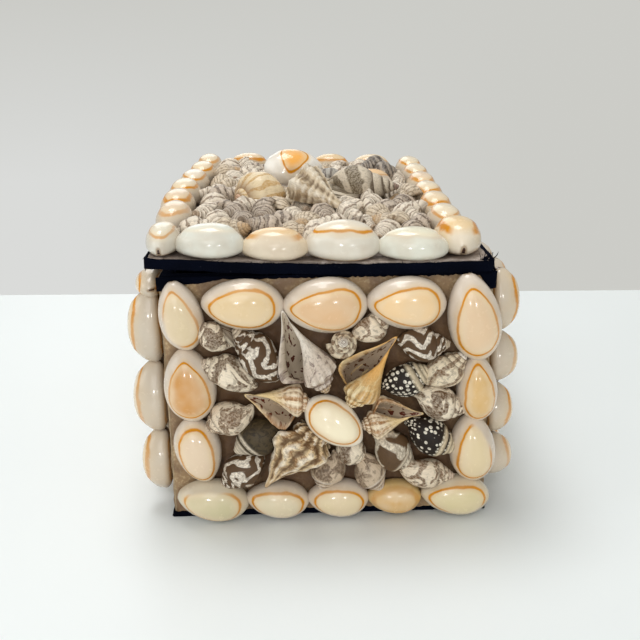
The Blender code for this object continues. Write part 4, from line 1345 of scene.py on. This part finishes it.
@dataclass
class CutEdges:
    """The cloth's raw edges: a torn strip under the rim, felt turned up at the foot, and loose threads."""

    walls: dict[str, Panel]
    pitch_mm: float = 0.7
    thick_mm: float = 0.35
    hairs: int = 150
    corner_threads: int = 34

    @staticmethod
    def rim_drop(u: float) -> float:
        """Return how far the velvet hangs down below the rim at the front, in millimetres."""
        coarse, fine = noise.noise(Vector((u / 1.3, 2.0, 0.0))), noise.noise(Vector((u / 0.5, 5.0, 0.0)))
        ragged = 0.5 * coarse + 0.35 * fine
        left = 1.2 * smooth(-30.0, -38.0, u) + 1.9 * smooth(-44.0, -46.5, u)
        return 1.0 + ragged + left + 4.2 * smooth(43.5, 46.5, u)

    @staticmethod
    def foot_drop(u: float) -> float:
        """Return how high the felt is turned up at the foot, in millimetres."""
        return 1.7 + 0.5 * noise.noise(Vector((u / 2.0, 9.0, 0.0)))

    def strip(self, piece: Piece, panel: Panel, edge: float, hang: Callable, way: int, out: float) -> None:
        """Add a strip of cloth that is glued along a wall and ends in a ragged line.

        Args:
            piece: the piece to add to.
            panel: the wall.
            edge: the height of its straight edge, in millimetres.
            hang: returns how wide the strip is at a distance along the wall.
            way: 1 if it goes up from the edge, -1 if it goes down.
            out: how far it lies off the wall, in millimetres.
        """
        width = panel.width / MM + 2 * out
        mesh = piece.mesh
        verts = bmesh.ops.create_grid(
            mesh, x_segments=round(width / self.pitch_mm), y_segments=4, size=0.5
        )["verts"]
        faces = list({face for vertex in verts for face in vertex.link_faces})
        top = bmesh.ops.extrude_face_region(mesh, geom=faces)["geom"]
        raised = [item for item in top if isinstance(item, bmesh.types.BMVert)]
        for vertex in verts + raised:
            u = vertex.co.x * width
            far = 0.5 + vertex.co.y
            ripple = 0.18 * noise.noise(Vector((u / 3.0, far * 2, 1.0)))
            vertex.co = Vector((u, edge + way * far * hang(u), out + ripple - 0.25 * far))
        for vertex in raised:
            vertex.co.z += self.thick_mm
        bmesh.ops.transform(mesh, matrix=panel.matrix() @ Matrix.Scale(MM, 4), verts=verts + raised)

    @staticmethod
    def thread(mesh: bmesh.types.BMesh, start: Vector, way: Vector, length: float, chance: Random) -> None:
        """Add a loose thread, three bends long and tapering to nothing.

        Args:
            mesh: the mesh to add to.
            start: where it leaves the cloth.
            way: its first direction.
            length: its length in millimetres.
            chance: the source of its bends.
        """
        ring = bmesh.ops.create_circle(mesh, segments=4, radius=0.15)["verts"]
        turn = way.to_track_quat("Z", "Y").to_matrix().to_4x4()
        bmesh.ops.transform(mesh, matrix=Matrix.Translation(start) @ turn, verts=ring)
        edges = list({edge for vertex in ring for edge in vertex.link_edges})
        for _ in range(3):
            edges, ring = Coil.extruded(mesh, edges)
            way = (way + 0.5 * Vector([chance.uniform(-1, 1) for _ in range(3)])).normalized()
            middle = sum((v.co for v in ring), Vector()) / len(ring)
            thin = Matrix.Translation(middle) @ Matrix.Scale(0.7, 4) @ Matrix.Translation(-middle)
            bmesh.ops.transform(mesh, matrix=Matrix.Translation(way * length / 3) @ thin, verts=ring)
        bmesh.ops.edgeloop_fill(mesh, edges=edges)

    def build(self, lid: "Lid") -> None:
        """Make the strips and the threads.

        Args:
            lid: the lid, whose edge is frayed too.
        """
        rim = Piece("rim_velvet", "case", "velvet", [VELVET])
        top = self.walls["front"].height / MM - 0.1
        self.strip(rim, self.walls["front"], top, self.rim_drop, -1, 0.75)
        rim.made()
        foot = Piece("turned_up_felt", "case", "velvet", [VELVET])
        for panel in self.walls.values():
            self.strip(foot, panel, 0.1, self.foot_drop, 1, 0.6)
        foot.made()
        chance = Random(17)
        fray = Piece("lid_threads", "lid", "velvet", [VELVET])
        half, front = lid.width_mm / 2, -lid.length_mm / 2
        for _ in range(self.hairs):
            u = chance.uniform(-half, half)
            low = chance.random() < 0.5
            start = Vector((u, front + 0.1, lid.sag(u, front) - (lid.thick_mm - 0.1 if low else 0.1)))
            way = Vector((chance.uniform(-0.8, 0.8), -0.9, -0.7 if low else 0.8)).normalized()
            self.thread(fray.mesh, start, way, chance.uniform(0.4, 1.1), chance)
        for _ in range(self.corner_threads):
            start = Vector((half - chance.uniform(0.3, 3.6), chance.uniform(front, front + 2.0), 0.1))
            way = Vector([chance.uniform(*span) for span in ((0.1, 0.9), (-0.9, -0.1), (0.1, 0.9))])
            self.thread(fray.mesh, start, way.normalized(), chance.uniform(1.2, 3.2), chance)
        fray.mesh.transform(lid.panel.matrix() @ Matrix.Scale(MM, 4))
        bmesh.ops.recalc_face_normals(fray.mesh, faces=fray.mesh.faces)
        fray.made()


@dataclass
class Lid:
    """The lid: velvet-covered board with a border of cowries, a field of snails and a heap of shells."""

    hinge: Vector
    width_mm: float = 98.7
    length_mm: float = 155.0
    thick_mm: float = 3.0
    inset_mm: float = 0.8
    gap_mm: float = 0.15
    ajar: float = 1.6
    sag_mm: float = 1.4
    cloth_mm: float = 0.6
    edge_mm: float = 0.6
    cowrie_mm: float = 13.4

    front: dict[str, tuple[Spot, CowrieLook]] = field(default_factory=lambda: {
        "front_1": (
            Spot(-31.4, -71.8, 178, 19.4, 13.8, 9.8), CowrieLook("#DFE0D4", 0.0, None, 0.2, 1.0, 21, "#DDDDD2")
        ),
        "front_2": (
            Spot(-12.8, -72.0, 178, 18.8, 13.4, 9.2), CowrieLook("#E6B468", 0.6, 90, 0.2, 2.2, 22, "#E2D4BE")
        ),
        "front_3": (
            Spot(6.6, -71.6, 178, 21.0, 15.0, 11.6), CowrieLook("#E2DACA", 0.9, None, 0.2, 1.0, 23, "#E0DACC")
        ),
        "front_4": (
            Spot(26.8, -71.8, 178, 20.2, 13.8, 9.4), CowrieLook("#E4E2CC", 0.1, None, 0.2, 1.0, 24, "#DFDED0")
        ),
        "corner_left": (
            Spot(-45.0, -69.2, -90, 18.4, 9.8, 8.6), CowrieLook("#E4DCC8", 0.6, None, 0.1, 1.0, 25, "#DAD5C8")
        ),
        "corner_right": (
            Spot(41.0, -64.8, -90, 20.8, 14.0, 10.4), CowrieLook("#E8C486", 1.3, 0, 0.0, 2.4, 26, "#E2D5C0")
        ),
    })

    @property
    def panel(self) -> Panel:
        """Return the lid's upper side at rest, as a panel whose origin is its middle."""
        turn = Matrix.Rotation(radians(self.ajar), 4, "Y")
        middle = Vector((-(self.inset_mm + self.width_mm / 2), 0.0, self.gap_mm + self.thick_mm)) * MM
        axes = [turn @ Vector(a) for a in ((1.0, 0.0, 0.0), (0.0, 1.0, 0.0), (0.0, 0.0, 1.0))]
        return Panel(self.hinge + turn @ middle, *axes, self.width_mm * MM, self.length_mm * MM, "lid")

    def sag(self, u: float, v: float) -> float:
        """Return how far the bowed board lies above its flat place, in millimetres."""
        share = u / (self.width_mm / 2)
        ahead = (v + self.length_mm / 2) / 30
        return -self.sag_mm * (1 - share * share) * exp(-ahead * ahead)

    def laid(self, spot: Spot) -> Spot:
        """Return a spot on the bowed board."""
        return replace(spot, raised=spot.raised + self.sag(spot.u, spot.v))

    def build(self) -> None:
        """Make the lid."""
        self.build_board()
        self.build_border()
        self.build_pile()
        self.build_field()

    def build_board(self) -> None:
        """Make the bowed board and the velvet under it and round its edge."""
        for name, slot, finish, inset, low, high, node in (
            ("lid_velvet", "velvet", VELVET, 0.0, -self.thick_mm, 0.0, "lid_lining"),
            ("lid_glue", "board", LID_GLUE, 0.9, 0.2 - self.thick_mm + self.cloth_mm, 0.35, "lid_board"),
        ):
            piece = Piece(name, "lid", slot, [finish], (node,))
            mesh = piece.mesh
            bmesh.ops.create_cube(mesh, size=1.0)
            bmesh.ops.subdivide_edges(mesh, edges=mesh.edges, cuts=47, use_grid_fill=True)
            size = Matrix.Diagonal((self.width_mm - 2 * inset, self.length_mm - 2 * inset, high - low, 1.0))
            mesh.transform(Matrix.Translation((0.0, 0.0, (high + low) / 2)) @ size)
            deep = mesh.verts.layers.float.new("deep")
            for vertex in mesh.verts:
                u, v, w = vertex.co
                rough = noise.fractal(Vector((u, v, w)) / 2.2, 1.0, 2.0, 3) * 0.2
                vertex.co.z += self.sag(u, v) + rough * (1.4 if w > high - 0.1 else 0.8)
                vertex.co.y += rough * (abs(v) > self.length_mm / 2 - inset - 0.1)
                edge = min(self.width_mm / 2 - abs(u), self.length_mm / 2 - abs(v))
                # painted shade mask: the lid glue darkens away from the board's edges
                vertex[deep] = smooth(4.0, 13.0, edge)
                if node == "lid_board":
                    corner = smooth(-26.0, -36.0, u) * smooth(-66.0, -72.0, v)
                    vertex.co.z -= 0.7 * corner * (1 + noise.noise(Vector((u, v, 0.0)) / 1.5))
            mesh.transform(self.panel.matrix() @ Matrix.Scale(MM, 4))
            bmesh.ops.recalc_face_normals(mesh, faces=mesh.faces)
            if node == "lid_lining":
                upper = [f for f in mesh.faces if f.normal.z > 0.7 and f.calc_center_median().z > 0]
                bmesh.ops.delete(mesh, geom=upper, context="FACES")
            made = piece.made()
            if node == "lid_lining":
                thicken(made, self.cloth_mm)

    def build_border(self) -> None:
        """Make the cowries along the lid's four edges."""
        form = Cowrie(segments=72, rings=32, margin_height=0.35)
        for name, (spot, look) in self.front.items():
            piece = Piece(f"lid_{name}", "lid", "cowrie", [ENAMEL], (f"lid_cowrie_{name}",))
            form.lay(piece, self.panel, self.laid(replace(spot, raised=-0.2)), look)
            piece.made()
        chance = Random(5)
        wide = self.cowrie_mm
        line = self.width_mm / 2 - self.edge_mm - wide / 2
        start, end = self.front["corner_right"][0].v + 10.6, self.length_mm / 2 - self.edge_mm
        pitch = (end - start) / 6
        form = Cowrie(segments=36, rings=20)
        for name, side, shifts in (
            ("left", -1, (2.6, 4.2, 4.4, 3.4, 2.2, 1.4)), ("right", 1, (-1.6, -1.2, -0.6, 0.2, 0.8, 1.0)),
        ):
            piece = Piece(f"lid_{name}_cowries", "lid", "cowrie", [ENAMEL], (f"lid_cowries_{name}",))
            for i, shift in enumerate(shifts):
                spot = Spot(side * (line + shift), start + (i + 0.5) * pitch, 90, pitch - 0.3, 11.8, 9.5, 0.3)
                form.lay(piece, self.panel, self.laid(spot), some_look(chance, i))
            piece.made()
        piece = Piece("lid_back_cowries", "lid", "cowrie", [ENAMEL], ("lid_cowries_back",))
        between = line - wide / 2 + 0.4
        for i in range(4):
            spot = Spot((i - 1.5) * between / 2, end - wide / 2, 180, between / 2 - 0.3, wide, 9.5, 0.3)
            form.lay(piece, self.panel, spot, some_look(chance, i + 12))
        piece.made()

    def build_pile(self) -> None:
        """Make the larger shells heaped in the middle of the lid."""
        cowries = (
            (
                "white_cowrie", Spot(-9.0, 3.0, 172, 24.0, 16.0, 9.8, 0.8),
                CowrieLook("#F3EFE8", 0.0, seed=31, margin="#F2EFEA"),
            ),
            (
                "ring_cowrie", Spot(-7.5, 0.6, 10, 20.5, 14.6, 9.4, 10.4, 32),
                CowrieLook("#F0AE54", 1.3, seed=32, margin="#F2EEE6"),
            ),
            (
                "back_right_cowrie", Spot(23.0, 21.0, 20, 17.0, 12.4, 10.0, 0.8),
                CowrieLook("#F0C592", 0.6, seed=33),
            ),
            (
                "back_left_cowrie", Spot(-12.0, 20.5, 165, 19.0, 13.0, 10.0, 0.8),
                CowrieLook("#EFEAE4", 0.4, seed=34),
            ),
        )
        for name, spot, look in cowries:
            piece = Piece(f"heap_{name}", "lid", "cowrie", [ENAMEL], (f"pile_{name}",))
            form = Cowrie(ring_length=0.46, ring_width=0.76) if name == "ring_cowrie" else Cowrie()
            form.lay(piece, self.panel, spot, look)
            piece.made()
        coils = (
            (
                "moon_snail", MOON_FORM, MOON, "whelk",
                Spot(-18.5, -17.5, 215, 20.4, 19.0, raised=0.6, roll=-30),
            ),
            (
                "knobbed_whelk", KNOBBED_FORM, KNOBBED, "whelk",
                Spot(1.2, -29.0, 140, 27.0, 20.5, raised=0.8, tilt=-9),
            ),
            (
                "banded_cone", CONCH_FORM, BANDED, "whelk",
                Spot(13.5, -8.5, -8, 33.0, 17.0, raised=0.6, roll=200),
            ),
            ("grey_turban", MOON_FORM, TURBAN, "small_shell", Spot(7.0, 17.0, 80, 14.0, 13.0, raised=0.6)),
        )
        for number, (name, coil, finish, slot, spot) in enumerate(coils):
            piece = Piece(f"heap_{name}", "lid", slot, [finish], (f"pile_{name}",))
            coil.lay(piece, self.panel, spot, number * 9.7)
            piece.made()

    def build_field(self) -> None:
        """Make the small snails that fill the lid round the pile."""
        chance = Random(11)
        avoid = (
            (-9, 3, 11), (-18.5, -17.5, 9), (-3, -22, 7.5), (6, -33, 6.5), (8, -9, 7), (15, -9, 7),
            (24, -8, 6), (23, 21, 7.5), (-12, 20.5, 8), (7, 17, 6.5),
        )
        finishes = [SNAIL, SNAIL_GREY, SNAIL_TAN, SNAIL_DARK]
        piece = Piece("lid_snails", "lid", "small_shell", finishes, ("lid_shell_field",))
        inner = self.width_mm / 2 - self.edge_mm - self.cowrie_mm - 0.3
        for spot in packed((-inner - 2.5, -64.5), (inner, 62.5), (13.6, 9.4), chance, avoid):
            finish = chance.choice((0, 0, 0, 0, 1, 1, 2))
            PERIWINKLE.lay(piece, self.panel, self.laid(spot), chance.uniform(0, 90), finish)
        for spot in (
            Spot(24.0, 36.0, 200, 12.5, 10.5, raised=4.0, roll=30),
            Spot(29.5, 28.0, 20, 11.5, 9.5, raised=3.5, roll=80),
        ):
            PERIWINKLE.lay(piece, self.panel, spot, chance.uniform(0, 90), 3)
        piece.made()


@dataclass
class HingeCloth:
    """The strip of velvet that joins the lid to the case."""

    hinge: Vector
    length: float
    below_mm: float = 1.9
    above_mm: float = 3.1
    thick_mm: float = 0.5

    def build(self) -> None:
        """Make the strip, leaning out below the hinge and in above it."""
        mesh = bmesh.new()
        bmesh.ops.create_cube(mesh, size=1.0)
        long = [e for e in mesh.edges if abs(e.verts[0].co.z - e.verts[1].co.z) > 0.5]
        bmesh.ops.subdivide_edges(mesh, edges=long, cuts=11, use_grid_fill=True)
        run = [e for e in mesh.edges if abs(e.verts[0].co.y - e.verts[1].co.y) > 0.5]
        bmesh.ops.subdivide_edges(mesh, edges=run, cuts=119, use_grid_fill=True)
        tall = self.below_mm + self.above_mm
        for vertex in mesh.verts:
            rise = -self.below_mm + (vertex.co.z + 0.5) * tall
            lean = 0.30 - 0.75 * smooth(-1.0, 1.4, rise)
            ripple = 0.12 * noise.noise(Vector((0.0, vertex.co.y * 40, rise * 0.5)))
            out = (vertex.co.x * self.thick_mm + lean + 0.28 + ripple) * MM
            vertex.co = self.hinge + Vector((out, vertex.co.y * self.length, rise * MM))
        bmesh.ops.recalc_face_normals(mesh, faces=mesh.faces)
        data = settled("hinge_velvet", mesh)
        data.shade_smooth()
        data.materials.append(VELVET.material())
        made = placed("hinge_velvet", data)
        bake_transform(made)
        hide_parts("hinge_cloth_case", "hinge_cloth_lid")
        LOG.info("hinge_velvet: %d faces", len(data.polygons))


@dataclass
class Studio:
    """The table, the light and the camera."""

    camera_mm: tuple[float, float, float] = (-8.5, -314.4, 143.4)
    yaw: float = -1.512
    pitch: float = 18.477
    roll: float = -0.743
    focal_px: float = 867.5
    image_px: int = 640
    sensor_mm: float = 36.0
    table_back_mm: float = 166.0
    table_half_mm: float = 700.0
    table_turn: float = -2.5

    def build(self) -> None:
        """Make the table, the wall's light, the lamps and the camera."""
        self.build_table()
        self.build_lights()
        self.build_camera()

    def build_table(self) -> None:
        """Make the table top, whose back edge lies just behind the box."""
        mesh = bmesh.new()
        bmesh.ops.create_cube(mesh, size=1.0)
        size = Vector((2 * self.table_half_mm, 2 * self.table_half_mm, 25.0)) * MM
        middle = Vector((0.0, -self.table_half_mm, -12.5)) * MM
        back = Matrix.Translation((0.0, self.table_back_mm * MM, 0.0))
        turned = back @ Matrix.Rotation(radians(self.table_turn), 4, "Z")
        mesh.transform(turned @ Matrix.Translation(middle) @ Matrix.Diagonal((*size, 1.0)))
        bmesh.ops.bevel(
            mesh, geom=list(mesh.edges), offset=1.5 * MM, segments=3, profile=0.5, affect="EDGES", material=-1
        )
        data = settled("table_top", mesh)
        data.materials.append(TableTop("white_melamine").material())
        placed("table_top", data)

    def build_lights(self) -> None:
        """Light the box softly from above and in front, over an even pale room."""
        world = bpy.data.worlds.new("pale_room")
        world.use_nodes = True
        tree = world.node_tree
        place = add_node(tree, COORDINATES).outputs["Generated"]
        across, _, up = add_node(tree, SEPARATE, {"Vector": place}).outputs
        wall = Finish.overlaid(tree, linear("#DDDEDC"), [
            Layer(up, "#CCCCC7", -0.15, 0.06, soft=False),
            Layer(across, "#CFCFCA", -0.25, 0.25, soft=False),
        ])
        tree.links.new(wall, tree.nodes["Background"].inputs["Color"])
        ray = add_node(tree, "ShaderNodeLightPath")
        strength = add_node(tree, RANGE, {0: ray.outputs["Is Camera Ray"], 3: 0.80, 4: 0.97})
        tree.links.new(strength.outputs[0], tree.nodes["Background"].inputs["Strength"])
        bpy.context.scene.world = world
        for name, place_mm, aim, size, watts in (
            ("ceiling", (-120, 150, 950), (0, 0, 40), 420, 4.1),
            ("front_window", (-250, -1100, 760), (0, -60, 40), 620, 2.7),
            ("left_spot", (-340, -1450, 350), (0, -60, 45), 110, 2.4),
            ("right_spot", (340, -1450, 350), (0, -60, 45), 110, 2.0),
            ("left_fill", (-900, -150, 420), (-60, 0, 20), 500, 1.2),
            ("back_light", (-150, 850, 500), (0, 90, 20), 500, 1.0),
        ):
            lamp = bpy.data.lights.new(name, "AREA")
            lamp.energy = watts
            lamp.size = size * MM
            made = placed(name, lamp)
            made.location = Vector(place_mm) * MM
            made.rotation_euler = (Vector(aim) - Vector(place_mm)).to_track_quat("-Z", "Y").to_euler()
            made.visible_camera = False

    def build_camera(self) -> None:
        """Set the camera where the photograph was taken from."""
        yaw, pitch, roll = radians(self.yaw), radians(self.pitch), radians(self.roll)
        right = Vector((cos(yaw), sin(yaw), 0.0))
        level = Vector((-sin(yaw), cos(yaw), 0.0))
        ahead = level * cos(pitch) - Vector((0.0, 0.0, sin(pitch)))
        up = right.cross(ahead)
        side = right * cos(roll) + up * sin(roll)
        top = up * cos(roll) - right * sin(roll)
        lens = bpy.data.cameras.new("camera")
        lens.sensor_width = self.sensor_mm
        lens.lens = self.sensor_mm * self.focal_px / self.image_px
        lens.clip_start = 0.01
        made = placed("camera", lens)
        turn = Matrix((side, top, -ahead)).transposed().to_4x4()
        made.matrix_world = Matrix.Translation(Vector(self.camera_mm) * MM) @ turn
        bpy.context.scene.camera = made
        bpy.context.scene.view_settings.view_transform = "Standard"


def panels() -> dict[str, Panel]:
    """Return the four outer walls of the case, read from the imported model."""
    low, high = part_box("box_case")
    x, y, z = Vector((1.0, 0.0, 0.0)), Vector((0.0, 1.0, 0.0)), Vector((0.0, 0.0, 1.0))
    width, length, height = high.x - low.x, high.y - low.y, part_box("case_lining")[1].z
    return {
        "front": Panel(y * low.y, x, z, -y, width, height, "case"),
        "right": Panel(x * high.x, y, z, x, length, height, "case"),
        "back": Panel(y * high.y, -x, z, y, width, height, "case"),
        "left": Panel(x * low.x, -y, z, -x, length, height, "case"),
    }


def main() -> None:
    """Build the box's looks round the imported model."""
    logging.basicConfig(level=logging.INFO, format="%(name)s %(message)s")
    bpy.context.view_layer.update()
    hinge = Vector(frame["joints"][0]["pos_m"])
    walls = panels()
    height = walls["front"].height / MM
    Studio().build()
    CaseCloth(walls["front"].width / MM, walls["left"].width / MM, height).build()
    FrontEnd(walls["front"]).build()
    top = height - SideWall.top_margin
    left_front = (
        Spot(67.4, 60.4, 84, 22.8, 13.6, 11.0, 0.4), Spot(67.6, 38.0, 95, 22.0, 13.6, 11.0, 0.4),
        Spot(67.8, 16.8, 92, 19.8, 13.4, 9.8, 0.4), Spot(64.0, 73.2, 180, 20.0, 8.0, 8.0, 0.4),
    )
    right_front = (
        Spot(-67.6, 66.5, 92, 19.0, 13.4, 9.3, 0.4), Spot(-67.6, 48.6, 90, 15.6, 13.0, 9.8, 0.4),
        Spot(-67.6, 31.6, 88, 15.6, 13.0, 9.2, 0.4), Spot(-67.6, 15.6, 90, 13.4, 12.6, 9.8, 0.4),
    )
    SideWall(
        "left", walls["left"], columns=3, column_low=8.8, column_high=top - 13.7, across_top=True, seed=1,
        leading=left_front, leading_side=1,
    ).build()
    SideWall(
        "right", walls["right"], columns=4, column_low=8.8, column_high=top, across_top=False, seed=2,
        leading=right_front, leading_side=-1,
    ).build()
    SideWall(
        "back", walls["back"], columns=4, column_low=1.2, column_high=top, across_top=False, seed=3
    ).build()
    lid = Lid(hinge)
    lid.build()
    CutEdges(walls).build(lid)
    HingeCloth(hinge, walls["left"].width).build()


if __name__ == "__main__":
    main()
